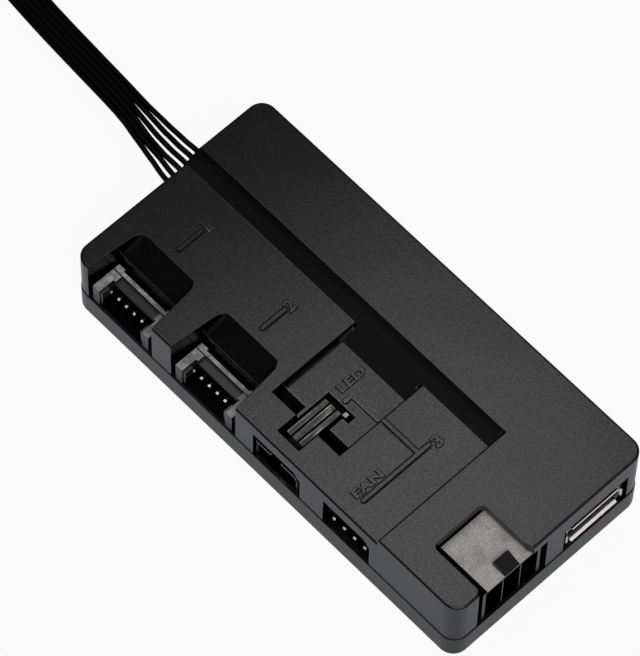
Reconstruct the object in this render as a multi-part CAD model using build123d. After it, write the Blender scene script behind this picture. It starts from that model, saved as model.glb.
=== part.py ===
from build123d import *
import math
import os

# A fan and light controller hub for a computer case.
# Frame: millimetres, +Z up, origin under the middle of the case. +X is the end with the
# power inlet and the USB socket, -X is the end where the six-wire lead leaves, and the
# fan and light ports open through the -Y wall.

# Case
case_length = 96.0
case_width = 45.4
tray_height = 6.2
low_height = 10.8
plateau_rise = 1.8
corner_radius = 3.0
top_edge_radius = 0.45
wall = 1.6
lid = 1.6
tray_floor = 1.8
tray_step = 0.13
tray_edge_radius = 0.9
lip_gap = 0.15
lip_wall = 0.7
lip_height = 1.0

# Lid relief
plateau_length = 19.2
ramp_run = 3.6
ramp_from_front = 26.7
light_pocket_drop = 1.8
light_pocket_length = 16.4
light_pocket_inset = 7.2
pocket_slot_width = 2.6
pocket_slot_length = 5.2
latch_hole_width = 5.4
latch_hole_length = 12.2
latch_hole_inset = 2.5
latch_shift = 0.3
latch_notch = 1.4
latch_notch_width = 1.8
latch_nub = 0.9
rim_break = 0.3
guide_width = 0.8
guide_height = 0.3
guide_groove = 0.22
guide_groove_depth = 0.2
guide_from_front = 14.2
guide_to_number = 19.5
light_guide_y = 17.1
light_guide_hook = 1.6
light_guide_shift = 0.9
fan_guide_from_front = 4.1

# Scooped ports 1 and 2
port_ways = 6
port_pitch = 2.0
port_end = 0.5
port_rail = 1.65
port_depth = 6.3
port_height = 5.5
port_recess = 0.15
port_first = 11.9
second_port_share = 0.3726
scoop_clear = 1.1
scoop_taper = 1.15
scoop_back = 11.85
scoop_foot = 7.15
scoop_drop = 3.0
scoop_corner = 1.7
scoop_cove = 1.3
scoop_wall = 1.3
scoop_skirt = 4.4
port_floor = 0.7
port_window = 3.4
port_shelf_depth = 1.0
port_shelf = 0.8
port_ledge_drop = 1.0
port_ledge_side = 0.5
port_bar = 0.75
port_bar_inset = 0.45
port_slit = 0.25
port_slit_depth = 0.6
port_key = 0.6
port_key_depth = 1.8
pin_side = 0.5
pin_foot = 0.8
port_pin_rise = 3.0
port_pin_inset = 2.1
port_pin_bend = 0.6

# Light socket and fan header
light_share = 0.6963
light_mouth = 11.1
light_width = 10.4
light_shift = -0.3
light_depth = 13.8
light_height = 5.0
light_ways = 3
light_skin = 0.45
light_recess = 0.5
light_corner = 0.9
light_mouth_depth = 5.6
light_shoulder = 0.6
light_shoulder_inset = 6.2
light_key = 2.6
light_key_shift = -0.6
light_pin_inset = 3.4
bridge_width = 4.0
bridge_length = 10.2
bridge_height = 4.4
bridge_groove = 0.4
bridge_groove_depth = 0.5
bridge_step = 1.1
fan_from_near = 26.8
fan_ways = 4
fan_pitch = 2.54
fan_base = 3.0
fan_base_inset = 8.0
fan_height = 6.0
fan_pin_inset = 0.8
fan_pin_rise = 2.2
fan_tongue_ways = 2.5
fan_tongue = 1.0
fan_hook = 0.4
row_pin = 0.64
row_pin_bend = 0.9
mouth_clear = 0.35
mouth_top = 7.8
mouth_chamfer = 1.5
header_recess = 0.3

# Power inlet and USB socket
power_from_front = 13.6
power_pitch = 4.2
power_cell = 3.95
power_side = 0.725
power_skin = 0.45
power_web_inset = 5.0
power_height = 10.2
power_depth = 11.4
power_clear = 1.35
power_notch_inset = 0.25
power_notch_left = 0.6
power_notch_right = 2.7
power_notch_corner = 1.0
power_corner_run = 1.9
power_corner_step = 0.6
power_flare = 1.0
power_back_wall = 1.8
power_key = 0.8
blade_side = 1.0
blade_inset = 2.0
blade_bend = 1.4
blade_row_step = 2.4
wedge_width = 3.5
wedge_length = 3.0
wedge_height = 1.2
usb_from_back = 11.6
usb_width = 13.1
usb_height = 4.5
usb_depth = 13.4
usb_lift = 0.75
usb_sheet = 0.3
usb_flare = 0.35
usb_lip_inset = 1.0
usb_tab = 2.2
usb_tab_back = 1.0
usb_tab_front = 6.0
usb_opening_width = 15.5
usb_opening_top = 7.8
tongue_root = 4.2
tongue_inset = 0.9
tongue_side = 0.6
tongue_gap = 0.35
tongue_thickness = 1.75
contact_ways = 4
contact_pitch = 2.3
contact_width = 1.0
contact_sheet = 0.2

# Board, screws and parts on the board
board_thickness = 1.6
board_gap = 0.4
board_corner = 1.0
hole_clear = 0.15
screw_radius = 1.1
screw_head_radius = 2.1
screw_head = 1.6
screw_sink = 0.8
screw_length = 8.0
screw_drive_radius = 0.9
screw_end_gap = 1.0
screw_bite = 0.05
post_radius = 2.6
sleeve_wall = 1.0
rest_from_front = 5.0
port_screw_from_front = 10.7
near_screw_inset = 2.7
near_screw_from_front = 4.6
back_screw_inset = 5.7
far_screw_inset = 6.5
band_screw_shift = 0.8
chip_before_light = 5.8
chip_from_back = 15.7
chip_side = 7.0
chip_height = 1.2
chip_ways = 8
chip_lead_pitch = 0.8
chip_lead_width = 0.4
chip_lead_length = 1.0
chip_lead_sheet = 0.35
regulator_before_fan = 7.2
regulator_spacing = 8.0
regulator_from_back = 15.2
regulator_length = 5.0
regulator_width = 6.0
regulator_height = 1.5
regulator_tab = 1.1
can_before_light = 25.8
can_spacing = 7.5
can_past_light = 8.2
can_from_back = 7.7
can_radius = 2.5
can_height = 5.2
can_foot = 5.4
can_foot_height = 1.0
inductor_before_fan = 1.2
inductor_from_back = 22.2
inductor_side = 6.4
inductor_height = 3.2
inductor_core = 2.2
crystal_before_chip = 14.0
crystal_from_back = 16.7
crystal_length = 9.6
crystal_width = 3.6
crystal_height = 2.6
small_chamfer = 0.25
small_radius = 0.4

# Six-wire lead
lead_ways = 6
lead_pitch = 1.6
wire_diameter = 1.05
wire_rise = 2.4
lead_from_back = 16.5
lead_housing_end = 1.6
wire_closing = 0.62
lead_inset = 2.6
plug_length = 6.4
plug_half = 1.6
plug_slot = 0.9
lead_socket_inset = 2.2
lead_socket_length = 7.2
lead_socket_wall = 0.8
lead_pin_inset = 3.4
tie_sheet = 0.7
tie_width = 4.0
tie_shift = 14.0
hank_length = 100.0
hank_width = 45.0
hank_wall = 3.6
hank_from_far = 59.0
face_gap = 0.15
end_pitch = 2.0
end_cell = 1.0
end_length = 9.0
end_width = 14.2
end_latch = 2.4

# Lead route: down the middle of the flat lead, from the case to the hank, as distance
# out from the case's far end, sideways from the lead's own middle, and height
lead_steps = [
    (10.0, 0.8, 8.5),
    (20.0, 2.1, 7.8),
    (32.0, 3.1, 6.7),
    (44.0, 4.2, 5.5),
    (56.0, 5.6, 4.6),
    (67.0, 6.8, 4.1),
    (78.0, 7.1, 3.9),
]
tail_steps = [(92.0, 2.4, 3.85), (106.0, 0.8, 3.6), (118.0, -2.8, 3.2), (128.0, -9.0, 2.9)]
join_index = 2

# Worked out from the sizes above
x_far = -case_length / 2
x_near = case_length / 2
y_front = -case_width / 2
y_back = case_width / 2
low_top = tray_height + low_height
high_top = low_top + plateau_rise
light_floor = low_top - light_pocket_drop
inner_length = case_length - 2 * wall
inner_width = case_width - 2 * wall
inner_radius = corner_radius - wall
board_top = tray_height
board_bottom = board_top - board_thickness
board_length = inner_length - 2 * (lip_gap + lip_wall + board_gap)
board_width = inner_width - 2 * (lip_gap + lip_wall + board_gap)
plateau_x = x_near - plateau_length
ramp_low_y = y_front + ramp_from_front
ramp_high_y = ramp_low_y + ramp_run
ramp_slope = plateau_rise / ramp_run
port_inner = (port_ways - 1) * port_pitch + 2 * port_end
port_width = port_inner + 2 * port_rail
first_port_x = x_far + port_first
fan_x = x_near - fan_from_near
port_run = fan_x - first_port_x
port_places = [first_port_x, first_port_x + second_port_share * port_run]
light_x = first_port_x + light_share * port_run
port_front = y_front + port_recess
scoop_half = port_width / 2 + scoop_clear
scoop_back_y = y_front + scoop_back
scoop_foot_y = y_front + scoop_foot
scoop_foot_z = low_top - scoop_drop
fan_width = fan_ways * fan_pitch
power_y = y_front + power_from_front
power_width = 2 * power_pitch + power_cell + 2 * power_side
power_front = x_near - header_recess
power_top = board_top + power_height
usb_y = y_back - usb_from_back
usb_front = x_near - header_recess - usb_flare
usb_bottom = board_top + usb_lift
usb_top = usb_bottom + usb_height
lead_y = y_back - lead_from_back
wire_z = board_top + wire_rise
lead_span = (lead_ways - 1) * lead_pitch
lead_width = lead_span + 2 * lead_housing_end
lead_start = x_far + wall + lead_inset
lead_socket_front = lead_start + lead_socket_inset
lead_socket_back = lead_socket_front + lead_socket_length
ribbon_width = lead_ways * wire_diameter
route = [(x_far, lead_y, wire_z)] + [(x_far - u, lead_y + v, z) for u, v, z in lead_steps]
tail_route = [(x_far - u, lead_y + v, z) for u, v, z in tail_steps]
hank_x = x_far - hank_from_far - hank_length / 2
hank_y = route[-1][1] + wire_diameter / 2 - hank_width / 2
past = 2.0
rim_depth = wall + lip_gap + lip_wall + board_gap / 2
below_lip = tray_height - lip_height - past
screw_places = [
    (sum(port_places) / 2, y_front + port_screw_from_front, low_top),
    (plateau_x + near_screw_inset, y_front + near_screw_from_front, high_top),
    (x_far + far_screw_inset, y_back - back_screw_inset, high_top),
    (plateau_x - band_screw_shift, y_back - back_screw_inset, high_top),
]
chip_x = light_x - chip_before_light
chip_y = y_back - chip_from_back
regulator_y = y_back - regulator_from_back
regulator_places = [fan_x - regulator_before_fan + n * regulator_spacing for n in range(2)]
can_y = y_back - can_from_back
can_places = [light_x - can_before_light + n * can_spacing for n in range(2)]
can_places.append(light_x + can_past_light)
inductor_x = fan_x - inductor_before_fan
inductor_y = y_back - inductor_from_back
crystal_x = chip_x - crystal_before_chip
crystal_y = y_back - crystal_from_back


def block(x0, x1, y0, y1, z0, z1):
    """A box between two corners."""
    middle = Pos((x0 + x1) / 2, (y0 + y1) / 2, (z0 + z1) / 2)
    return middle * Box(x1 - x0, y1 - y0, z1 - z0)


def slab(length, width, radius, z0, z1):
    """A plate with round corners, centred on the origin."""
    return extrude(Plane.XY.offset(z0) * RectangleRounded(length, width, radius), z1 - z0)


def prism_x(points, x0, x1):
    """A (y, z) outline run along X."""
    return extrude(Plane.YZ.offset(x0) * make_face(Polyline(points, close=True)), x1 - x0)


def prism_y(points, y0, y1):
    """An (x, z) outline run along Y."""
    return extrude(Plane.XZ.offset(-y0) * make_face(Polyline(points, close=True)), y0 - y1)


def upright(radius, x, y, z0, z1):
    """A round post along Z."""
    return Pos(x, y, (z0 + z1) / 2) * Cylinder(radius, z1 - z0)


def edge_break(place, level, way, size):
    """Outline that takes a corner off at 45 degrees; way points into the wall that is cut."""
    return [
        (place + way * 2 * size, level + size),
        (place - way * size, level - 2 * size),
        (place - way * size, level + size),
    ]


def bent_pin(side, tip, bend, level, across):
    """A square pin that points down the negative run, bends and goes through the board.

    Args: side is its thickness, tip and bend the run's ends, level its height and across
    the prism that turns the outline into a solid.
    """
    foot = board_bottom - pin_foot
    h = side / 2
    taper = 0.8 * side
    outline = [
        (tip, level - h / 2),
        (tip + taper, level - h),
        (bend - h, level - h),
        (bend - h, foot),
        (bend + h, foot),
        (bend + h, level + h),
        (tip + taper, level + h),
        (tip, level + h / 2),
    ]
    return across(outline)


# Case
def low_profile(drop):
    """Outline over the low part of the lid, in (y, z), lowered by the lid's thickness."""
    return [
        (y_front - past, low_top - drop),
        (ramp_low_y, low_top - drop),
        (ramp_high_y, high_top - drop),
        (ramp_high_y, high_top + past),
        (y_front - past, high_top + past),
    ]


def light_pocket_profile(drop, side):
    """Outline of the sunken field over the light socket; the ramp runs on down into it."""
    front = y_front + light_pocket_inset - side
    return [
        (front, light_floor - drop),
        (ramp_low_y - light_pocket_drop / ramp_slope, light_floor - drop),
        (ramp_low_y, low_top - drop),
        (ramp_low_y, low_top + past),
        (front, low_top + past),
    ]


def scoop_plan(x, grow):
    """Outline of a port's scoop seen from above: it narrows to a rounded back edge."""
    front = scoop_half + grow
    back = scoop_half - scoop_taper + grow
    corners = [
        (x - front, y_front - past),
        (x + front, y_front - past),
        (x + front, y_front),
        (x + back, scoop_back_y + grow),
        (x - back, scoop_back_y + grow),
        (x - front, y_front),
    ]
    plan = make_face(Polyline(corners, close=True))
    return fillet(plan.vertices().group_by(Axis.Y)[-1], scoop_corner + grow)


def under_scoop(drop):
    """Everything below the scoop's sloping floor, in (y, z)."""
    slope = scoop_drop / (scoop_back_y - scoop_foot_y)
    end_y = scoop_back_y + 2 * past
    return [
        (scoop_foot_y, tray_height - past),
        (scoop_foot_y, scoop_foot_z - drop),
        (end_y, scoop_foot_z - drop + slope * (end_y - scoop_foot_y)),
        (end_y, tray_height - past),
    ]


def scoop(x, grow, drop, z0):
    """One port's scoop, or, grown, the moulded shell round it."""
    body = extrude(Plane.XY.offset(z0) * scoop_plan(x, grow), low_top + past - z0)
    reach = scoop_half + grow + past
    return body - prism_x(under_scoop(drop), x - reach, x + reach)


def side_cove(x, way):
    """What rounds the corner between a scoop's slope and one of its side walls."""
    run = scoop_back - scoop_foot
    r = scoop_cove
    wall_x = x + way * (scoop_half - scoop_taper * scoop_foot / scoop_back)
    inside = wall_x - way * r
    outside = wall_x + way * r / 4
    low = scoop_foot_z - r / 4
    high = scoop_foot_z + r
    sag = r * (1 - math.sqrt(0.5))
    start = (inside, scoop_foot_z)
    end = (wall_x, high)
    curve = ThreePointArc(start, (wall_x - way * sag, scoop_foot_z + sag), end)
    sides = Polyline(end, (outside, high), (outside, low), (inside, low), start)
    face = Plane.XZ.offset(-scoop_foot_y) * make_face([sides, curve])
    along = Vector(-way * scoop_taper / scoop_back, 1, scoop_drop / run)
    return extrude(face, along.length * (run + past), dir=along.normalized())


def scoop_cut(x):
    """One port's scoop as it is cut: coved along its sides."""
    return scoop(x, 0, 0, below_lip) - [side_cove(x, way) for way in (-1, 1)]


def skirt(x):
    """The wall that hangs from the foot of a scoop's slope, behind its port."""
    low = scoop_foot_z - scoop_skirt
    return block(x - scoop_half, x + scoop_half, scoop_foot_y, scoop_foot_y + scoop_wall, low, scoop_foot_z)


def mouth_cut(x, width):
    """A port's mouth in the -Y wall, with one corner cut off."""
    half = width / 2 + mouth_clear
    top = board_top + mouth_top
    outline = [
        (x - half, below_lip),
        (x + half, below_lip),
        (x + half, top - mouth_chamfer),
        (x + half - mouth_chamfer, top),
        (x - half, top),
    ]
    return prism_y(outline, y_front - past, y_front + rim_depth)


def lip_ring():
    """The tongue under the cover's edge that seats inside the tray."""
    gap = 2 * lip_gap
    inside = 2 * (lip_gap + lip_wall)
    core_radius = max(inner_radius - lip_gap - lip_wall, 0.3)
    low = tray_height - lip_height
    foot = slab(inner_length - gap, inner_width - gap, inner_radius - lip_gap, low, tray_height)
    root = slab(inner_length, inner_width, inner_radius, tray_height, tray_height + lip_height)
    core = slab(
        inner_length - inside,
        inner_width - inside,
        core_radius,
        low - past,
        tray_height + lip_height + past,
    )
    return (root + foot) - core


def cover_form():
    """The cover's outside: a raised band and end, a ramp and the sunken light field."""
    form = slab(case_length, case_width, corner_radius, tray_height, high_top)
    form -= prism_x(low_profile(0), x_far - past, plateau_x)
    rim = [e for e in form.edges() if on_rim(e)]
    form = fillet(rim, top_edge_radius)
    x0 = light_x - light_pocket_length / 2
    x1 = light_x + light_pocket_length / 2
    y0 = y_front + light_pocket_inset
    form -= prism_x(light_pocket_profile(0, 0), x0, x1)
    for x, way in ((x0, -1), (x1, 1)):
        form -= prism_y(edge_break(x, low_top, way, rim_break), y0 - rim_break, ramp_low_y)
    form -= prism_x(edge_break(y0, low_top, -1, rim_break), x0, x1)
    edge = edge_break(plateau_x, high_top, 1, rim_break)
    return form - prism_y(edge, y_front - past, ramp_high_y)


def on_rim(edge):
    """Whether an edge of the raw form lies on the case's outer outline at the top."""
    middle = edge.center()
    flat = edge.bounding_box().size.Z < 0.001
    high = middle.Z > low_top - 0.001
    shrink = corner_radius * 0.3
    outer = abs(middle.X) > case_length / 2 - shrink or abs(middle.Y) > case_width / 2 - shrink
    return flat and high and outer


def cover_hollow():
    """The room inside the cover, less the shells of the scoops."""
    room = slab(inner_length, inner_width, inner_radius, tray_height - past, high_top - lid)
    room -= prism_x(low_profile(lid), x_far - past, plateau_x + lid)
    half = light_pocket_length / 2 + scoop_wall
    room -= prism_x(light_pocket_profile(lid, scoop_wall), light_x - half, light_x + half)
    for x in port_places:
        room -= scoop(x, scoop_wall, lid, tray_height + lip_gap)
    return room


def guide_lines():
    """Both ends and the level of each thin line that leads from a port to its number."""
    start = y_front + guide_from_front
    end = y_front + guide_to_number
    near = light_x + light_pocket_length / 2
    edge = near + rim_break + guide_width / 2
    hook_x = light_x + light_guide_shift
    line_y = y_front + light_guide_y
    lines = [((x, start), (x, end), low_top) for x in port_places]
    lines.append(((fan_x, y_front + fan_guide_from_front), (fan_x, end), low_top))
    lines.append(((edge, line_y), (fan_x, line_y), low_top))
    lines.append(((hook_x, line_y), (near - guide_width, line_y), light_floor))
    lines.append(((hook_x, line_y - light_guide_hook), (hook_x, line_y), light_floor))
    return lines


def guide_plan(line, width):
    """A guide line's outline with round ends."""
    first, last, level = line
    run = Vector(*last) - Vector(*first)
    turn = math.degrees(math.atan2(run.Y, run.X))
    middle = Pos((first[0] + last[0]) / 2, (first[1] + last[1]) / 2, level)
    return middle * SlotCenterToCenter(run.length, width, rotation=turn)


def guide_grooves():
    """The shallow grooves that the raised lines stand in."""
    width = guide_width + 2 * guide_groove
    plans = [guide_plan(line, width) for line in guide_lines()]
    return [extrude(plan, guide_groove_depth, both=True) for plan in plans]


def guide_ribs():
    """The raised lines."""
    plans = [guide_plan(line, guide_width) for line in guide_lines()]
    return [extrude(plan, guide_height, both=True) for plan in plans]


def power_opening():
    """The power inlet's window in the near wall and the notch above it in the lid."""
    half = power_width / 2 + power_clear
    top = power_top + power_notch_inset
    window = block(x_near - rim_depth, x_near + past, power_y - half, power_y + half, below_lip, top)
    notch_y0 = power_y - power_width / 2 - power_notch_left
    notch_y1 = power_y + power_width / 2 - power_notch_right
    notch_x0 = power_front - power_depth - power_notch_inset
    length = x_near + past + corner_radius - notch_x0
    plan = RectangleRounded(length, notch_y1 - notch_y0, power_notch_corner)
    centre = Pos(notch_x0 + length / 2, (notch_y0 + notch_y1) / 2, board_top + power_notch_inset)
    notch = extrude(centre * plan, high_top + past - board_top)
    flare_x = x_near - power_flare
    flare = block(flare_x, x_near + past, power_y - half, notch_y1, below_lip, high_top + past)
    corner = [
        (x_near - power_corner_run, notch_y1 - past),
        (x_near + past, notch_y1 - past),
        (x_near + past, notch_y1 + power_corner_step),
        (x_near, notch_y1 + power_corner_step),
        (x_near - power_corner_run, notch_y1),
    ]
    corner_plan = Plane.XY.offset(board_top) * make_face(Polyline(corner, close=True))
    return [window, notch, flare, extrude(corner_plan, high_top + past - board_top)]


def end_windows():
    """The USB window in the near wall and the lead's gap in the far wall."""
    half = usb_opening_width / 2
    top = board_top + usb_opening_top
    usb = block(x_near - rim_depth, x_near + past, usb_y - half, usb_y + half, below_lip, top)
    half = lead_span / 2 + wire_diameter
    top = wire_z + wire_diameter / 2 + hole_clear
    lead = block(x_far - past, x_far + rim_depth, lead_y - half, lead_y + half, below_lip, top)
    return [usb, lead]


def latch_hole():
    """The slot in the lid where the light socket's ribbed bridge comes up."""
    x = light_x + latch_shift
    half = latch_hole_width / 2
    y0 = y_front + latch_hole_inset
    y1 = y0 + latch_hole_length
    low = light_floor - lid - past
    slot = block(x - half, x + half, y0, y1, low, low_top + past)
    notch_x = x + half + latch_notch
    return slot + block(x, notch_x, y1 - latch_notch_width, y1, low, low_top + past)


def pocket_slots():
    """Two slots along the front foot of the sunken light field."""
    y0 = y_front + light_pocket_inset
    y1 = y0 + pocket_slot_width
    low = light_floor - lid - past
    half = light_pocket_length / 2
    starts = [light_x - half, light_x + half - pocket_slot_length]
    return [block(x, x + pocket_slot_length, y0, y1, low, low_top) for x in starts]


def openings():
    """Every opening cut through the cover."""
    cuts = [scoop_cut(x) for x in port_places]
    cuts.append(mouth_cut(light_x, light_mouth))
    cuts.append(mouth_cut(fan_x, fan_width + 2 * mouth_clear))
    cuts.extend(power_opening())
    cuts.extend(end_windows())
    cuts.append(latch_hole())
    cuts.extend(pocket_slots())
    return cuts


def make_cover():
    """The moulded cover, with screw posts, seating tongue and guide lines."""
    cover = cover_form() - cover_hollow() + lip_ring()
    cover += [skirt(x) for x in port_places]
    for x, y, top in screw_places:
        cover += upright(post_radius, x, y, board_top, top - lid / 2)
    cover -= guide_grooves()
    cover += guide_ribs()
    cover -= openings()
    for x, y, top in screw_places:
        cover -= upright(screw_radius + screw_bite, x, y, board_top - past, board_top + screw_length)
    return cover


def make_tray():
    """The tray: floor, walls, screw sleeves and the clamp under the lead."""
    length = case_length + 2 * tray_step
    width = case_width + 2 * tray_step
    tray = slab(length, width, corner_radius + tray_step, 0, tray_height)
    tray = fillet(tray.edges().group_by(Axis.Z)[0], tray_edge_radius)
    tray -= slab(inner_length, inner_width, inner_radius, tray_floor, tray_height + past)
    for x, y, top in screw_places:
        tray += upright(post_radius + sleeve_wall, x, y, tray_floor, board_bottom)
    for x in (*port_places, light_x, fan_x):
        tray += upright(post_radius / 2, x, y_front + rest_from_front, tray_floor, board_bottom)
    half = lead_span / 2 + wire_diameter - hole_clear
    clamp_top = wire_z - (wire_diameter + hole_clear) / 2
    tray += block(x_far, x_far + wall, lead_y - half, lead_y + half, tray_height - past, clamp_top)
    for x, y, top in screw_places:
        tray -= upright(screw_head_radius + hole_clear, x, y, -past, screw_sink + screw_head)
        tray -= upright(screw_radius + hole_clear, x, y, -past, board_bottom + past)
    return tray


# Board
def make_board(pins):
    """The circuit board, with screw holes and a hole for each bent pin."""
    board = slab(board_length, board_width, board_corner, board_bottom, board_top)
    for x, y, top in screw_places:
        board -= upright(screw_radius + 2 * hole_clear, x, y, board_bottom - past, board_top + past)
    holes = []
    for pin in pins:
        foot = pin.faces().sort_by(Axis.Z)[0].bounding_box()
        holes.append(
            block(
                foot.min.X - hole_clear,
                foot.max.X + hole_clear,
                foot.min.Y - hole_clear,
                foot.max.Y + hole_clear,
                board_bottom - past,
                board_top + past,
            )
        )
    return board - holes


def make_screws():
    """Four case screws, driven up through the tray and the board into the posts."""
    screws = []
    for x, y, top in screw_places:
        seat = screw_sink + screw_head
        head = upright(screw_head_radius, x, y, screw_sink, seat)
        head = chamfer(head.edges().group_by(Axis.Z)[0], small_radius)
        shank = upright(screw_radius, x, y, seat, board_top + screw_length - screw_end_gap)
        drive = upright(screw_drive_radius, x, y, screw_sink - past, screw_sink + screw_head / 2)
        screws.append(head + shank - drive)
    return screws


# Ports 1 and 2
def make_port_shell(x, pins):
    """A side-entry shell with two end rails, an open top and a sunken latch ledge."""
    half = port_width / 2
    inner = port_inner / 2
    front = port_front
    back = front + port_depth
    top = board_top + port_height
    floor = board_top + port_floor
    window = front + port_window
    ledge = top - port_ledge_drop
    side = inner - port_ledge_side
    bar_back = back - port_bar_inset
    bar_front = bar_back - port_bar
    shell = block(x - half, x + half, front, back, board_top, top)
    shell -= block(x - inner, x + inner, front - past, window, floor, top + past)
    shelf_y = window + port_shelf_depth
    shell -= block(x - inner, x + inner, window - past, shelf_y, floor, ledge - port_shelf)
    shell -= block(x - side, x + side, window - past, bar_front, ledge, top + past)
    shell -= block(x - inner, x + inner, bar_back, back + past, ledge - port_slit_depth, top + past)
    slit_z = top - port_slit_depth
    shell -= block(x - half - past, x + half + past, bar_front - port_slit, bar_front, slit_z, top + past)
    key_front = front + port_slit
    for way in (-1, 1):
        edge = x + way * inner
        key = sorted((edge, edge - way * port_key))
        shell += block(*key, key_front, key_front + port_key_depth, board_top, top - port_key)
    return shell - pins


def make_port_pins(x):
    """A row of six bent pins."""
    pins = []
    for n in range(port_ways):
        middle = x + (n - (port_ways - 1) / 2) * port_pitch
        pins.append(
            bent_pin(
                pin_side,
                port_front + port_pin_inset,
                port_front + port_depth + port_pin_bend,
                board_top + port_pin_rise,
                lambda outline: prism_x(outline, middle - pin_side / 2, middle + pin_side / 2),
            )
        )
    return pins


# Light socket
def light_outline(skin):
    """The light socket's front outline, one corner cut off, moved in by a skin."""
    middle = light_x + light_shift
    half = light_width / 2 - skin
    low = board_top + skin
    top = board_top + light_height - skin
    cut = light_corner - skin / 2
    return [
        (middle - half, low),
        (middle + half, low),
        (middle + half, top - cut),
        (middle + half - cut, top),
        (middle - half, top),
    ]


def make_light_socket(pins):
    """The light socket: a deep mouth with a key slot, and a ribbed latch bridge on top."""
    front = y_front + light_recess
    back = front + light_depth
    top = board_top + light_height
    socket = prism_y(light_outline(0), front, back)
    socket -= prism_y(light_outline(light_skin), front - past, front + light_mouth_depth)
    key_x0 = light_x + light_key_shift - light_key / 2
    key_low = top - light_skin - hole_clear
    socket -= block(key_x0, key_x0 + light_key, front - past, front + light_key, key_low, top + past)
    x = light_x + latch_shift
    half = bridge_width / 2
    shoulder_y = front + light_shoulder_inset
    shoulder_z = top - light_shoulder
    for x0, x1 in ((light_x - light_width, x - half), (x + half, light_x + light_width)):
        socket -= block(x0, x1, shoulder_y, back + past, shoulder_z, top + past)
    bridge_y = back - bridge_length
    bridge_top = top + bridge_height
    step_z = bridge_top - bridge_groove_depth
    above = bridge_top + past
    bridge = block(x - half, x + half, bridge_y, back, top, bridge_top)
    for way in (-1, 1):
        groove = x + way * bridge_width / 5 - bridge_groove / 2
        bridge -= block(groove, groove + bridge_groove, bridge_y - past, back + past, step_z, above)
    bridge -= block(x - half - past, x + half + past, back - bridge_step, back + past, step_z, above)
    nub_y = y_front + latch_hole_inset + latch_hole_length - latch_notch_width / 2
    nub_top = bridge_top - bridge_groove_depth
    nub = block(x, x + half + latch_nub, nub_y - latch_nub / 2, nub_y + latch_nub / 2, top, nub_top)
    return socket + bridge + nub - pins


def make_row_pins(x, ways, tip, bend, level):
    """One row of bent pins at the fan pitch."""
    pins = []
    for n in range(ways):
        middle = x + (n - (ways - 1) / 2) * fan_pitch
        pins.append(
            bent_pin(
                row_pin,
                tip,
                bend,
                level,
                lambda outline: prism_x(outline, middle - row_pin / 2, middle + row_pin / 2),
            )
        )
    return pins


# Fan header
def make_fan_header(pins):
    """The four-way fan header: a base block and a lock tongue under the pins."""
    left = fan_x - fan_width / 2
    base_front = y_front + fan_base_inset
    base_back = base_front + fan_base
    header = block(left, left + fan_width, base_front, base_back, board_top, board_top + fan_height)
    tongue_end = left + fan_tongue_ways * fan_pitch
    tongue_front = y_front + rim_depth + board_gap / 2
    hook_back = tongue_front + fan_tongue
    tongue_top = board_top + fan_tongue
    header += block(left, tongue_end, tongue_front, base_front + fan_tongue, board_top, tongue_top)
    header += block(left, tongue_end, tongue_front, hook_back, board_top, tongue_top + fan_hook)
    return header - pins


# Power inlet
def power_cells():
    """Centres of the inlet's six cells, as (y, z)."""
    middle = board_top + power_height / 2
    return [
        (power_y + column * power_pitch, middle + row * power_pitch / 2)
        for row in (-1, 1)
        for column in (-1, 0, 1)
    ]


def make_power_inlet(pins):
    """The six-way inlet: keyed cells in front and a latch wedge on the top plate."""
    half = power_width / 2
    back = power_front - power_depth
    inlet = block(back, power_front, power_y - half, power_y + half, board_top, power_top)
    h = power_cell / 2
    key = h - power_key
    for n, (y, z) in enumerate(power_cells()):
        square = [(y - h, z - h), (y + h, z - h), (y + h, z + h), (y - h, z + h)]
        keyed = [(y - key, z - h), (y + key, z - h), (y + h, z - key)]
        keyed += [(y + h, z + h), (y - h, z + h), (y - h, z - key)]
        outline = square if n % 2 else keyed
        inlet -= prism_x(outline, back + power_back_wall, power_front + past)
    web_x = power_front - power_web_inset
    low = board_top + power_skin
    high = power_top - power_skin
    for column in (-1, 0, 1):
        y = power_y + column * power_pitch
        inlet -= block(web_x, power_front + past, y - h, y + h, low, high)
    root = power_top - hole_clear
    wedge = [
        (power_front, root),
        (power_front, power_top + hole_clear),
        (power_front - wedge_length, power_top + wedge_height),
        (power_front - wedge_length - small_chamfer, root),
    ]
    inlet += prism_y(wedge, power_y - wedge_width / 2, power_y + wedge_width / 2)
    return inlet - pins


def make_power_pins():
    """Six bent blades, pointing out of the near end."""
    h = blade_side / 2
    blades = []
    for n, (y, z) in enumerate(power_cells()):
        bend = power_depth + blade_bend + (n // 3) * blade_row_step
        blade = bent_pin(
            blade_side,
            blade_inset,
            bend,
            z,
            lambda outline: prism_y([(power_front - u, v) for u, v in outline], y - h, y + h),
        )
        blades.append(blade)
    return blades


# USB socket
def flared_lip(edge, way):
    """Section of a flared lip on one edge of the shell's mouth; way points outwards."""
    t = usb_sheet
    out = usb_flare
    return [
        (usb_front - t, edge),
        (usb_front + out, edge + way * out),
        (usb_front + out + t / 2, edge + way * (out - t)),
        (usb_front, edge - way * t),
        (usb_front - t, edge - way * t),
    ]


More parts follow.
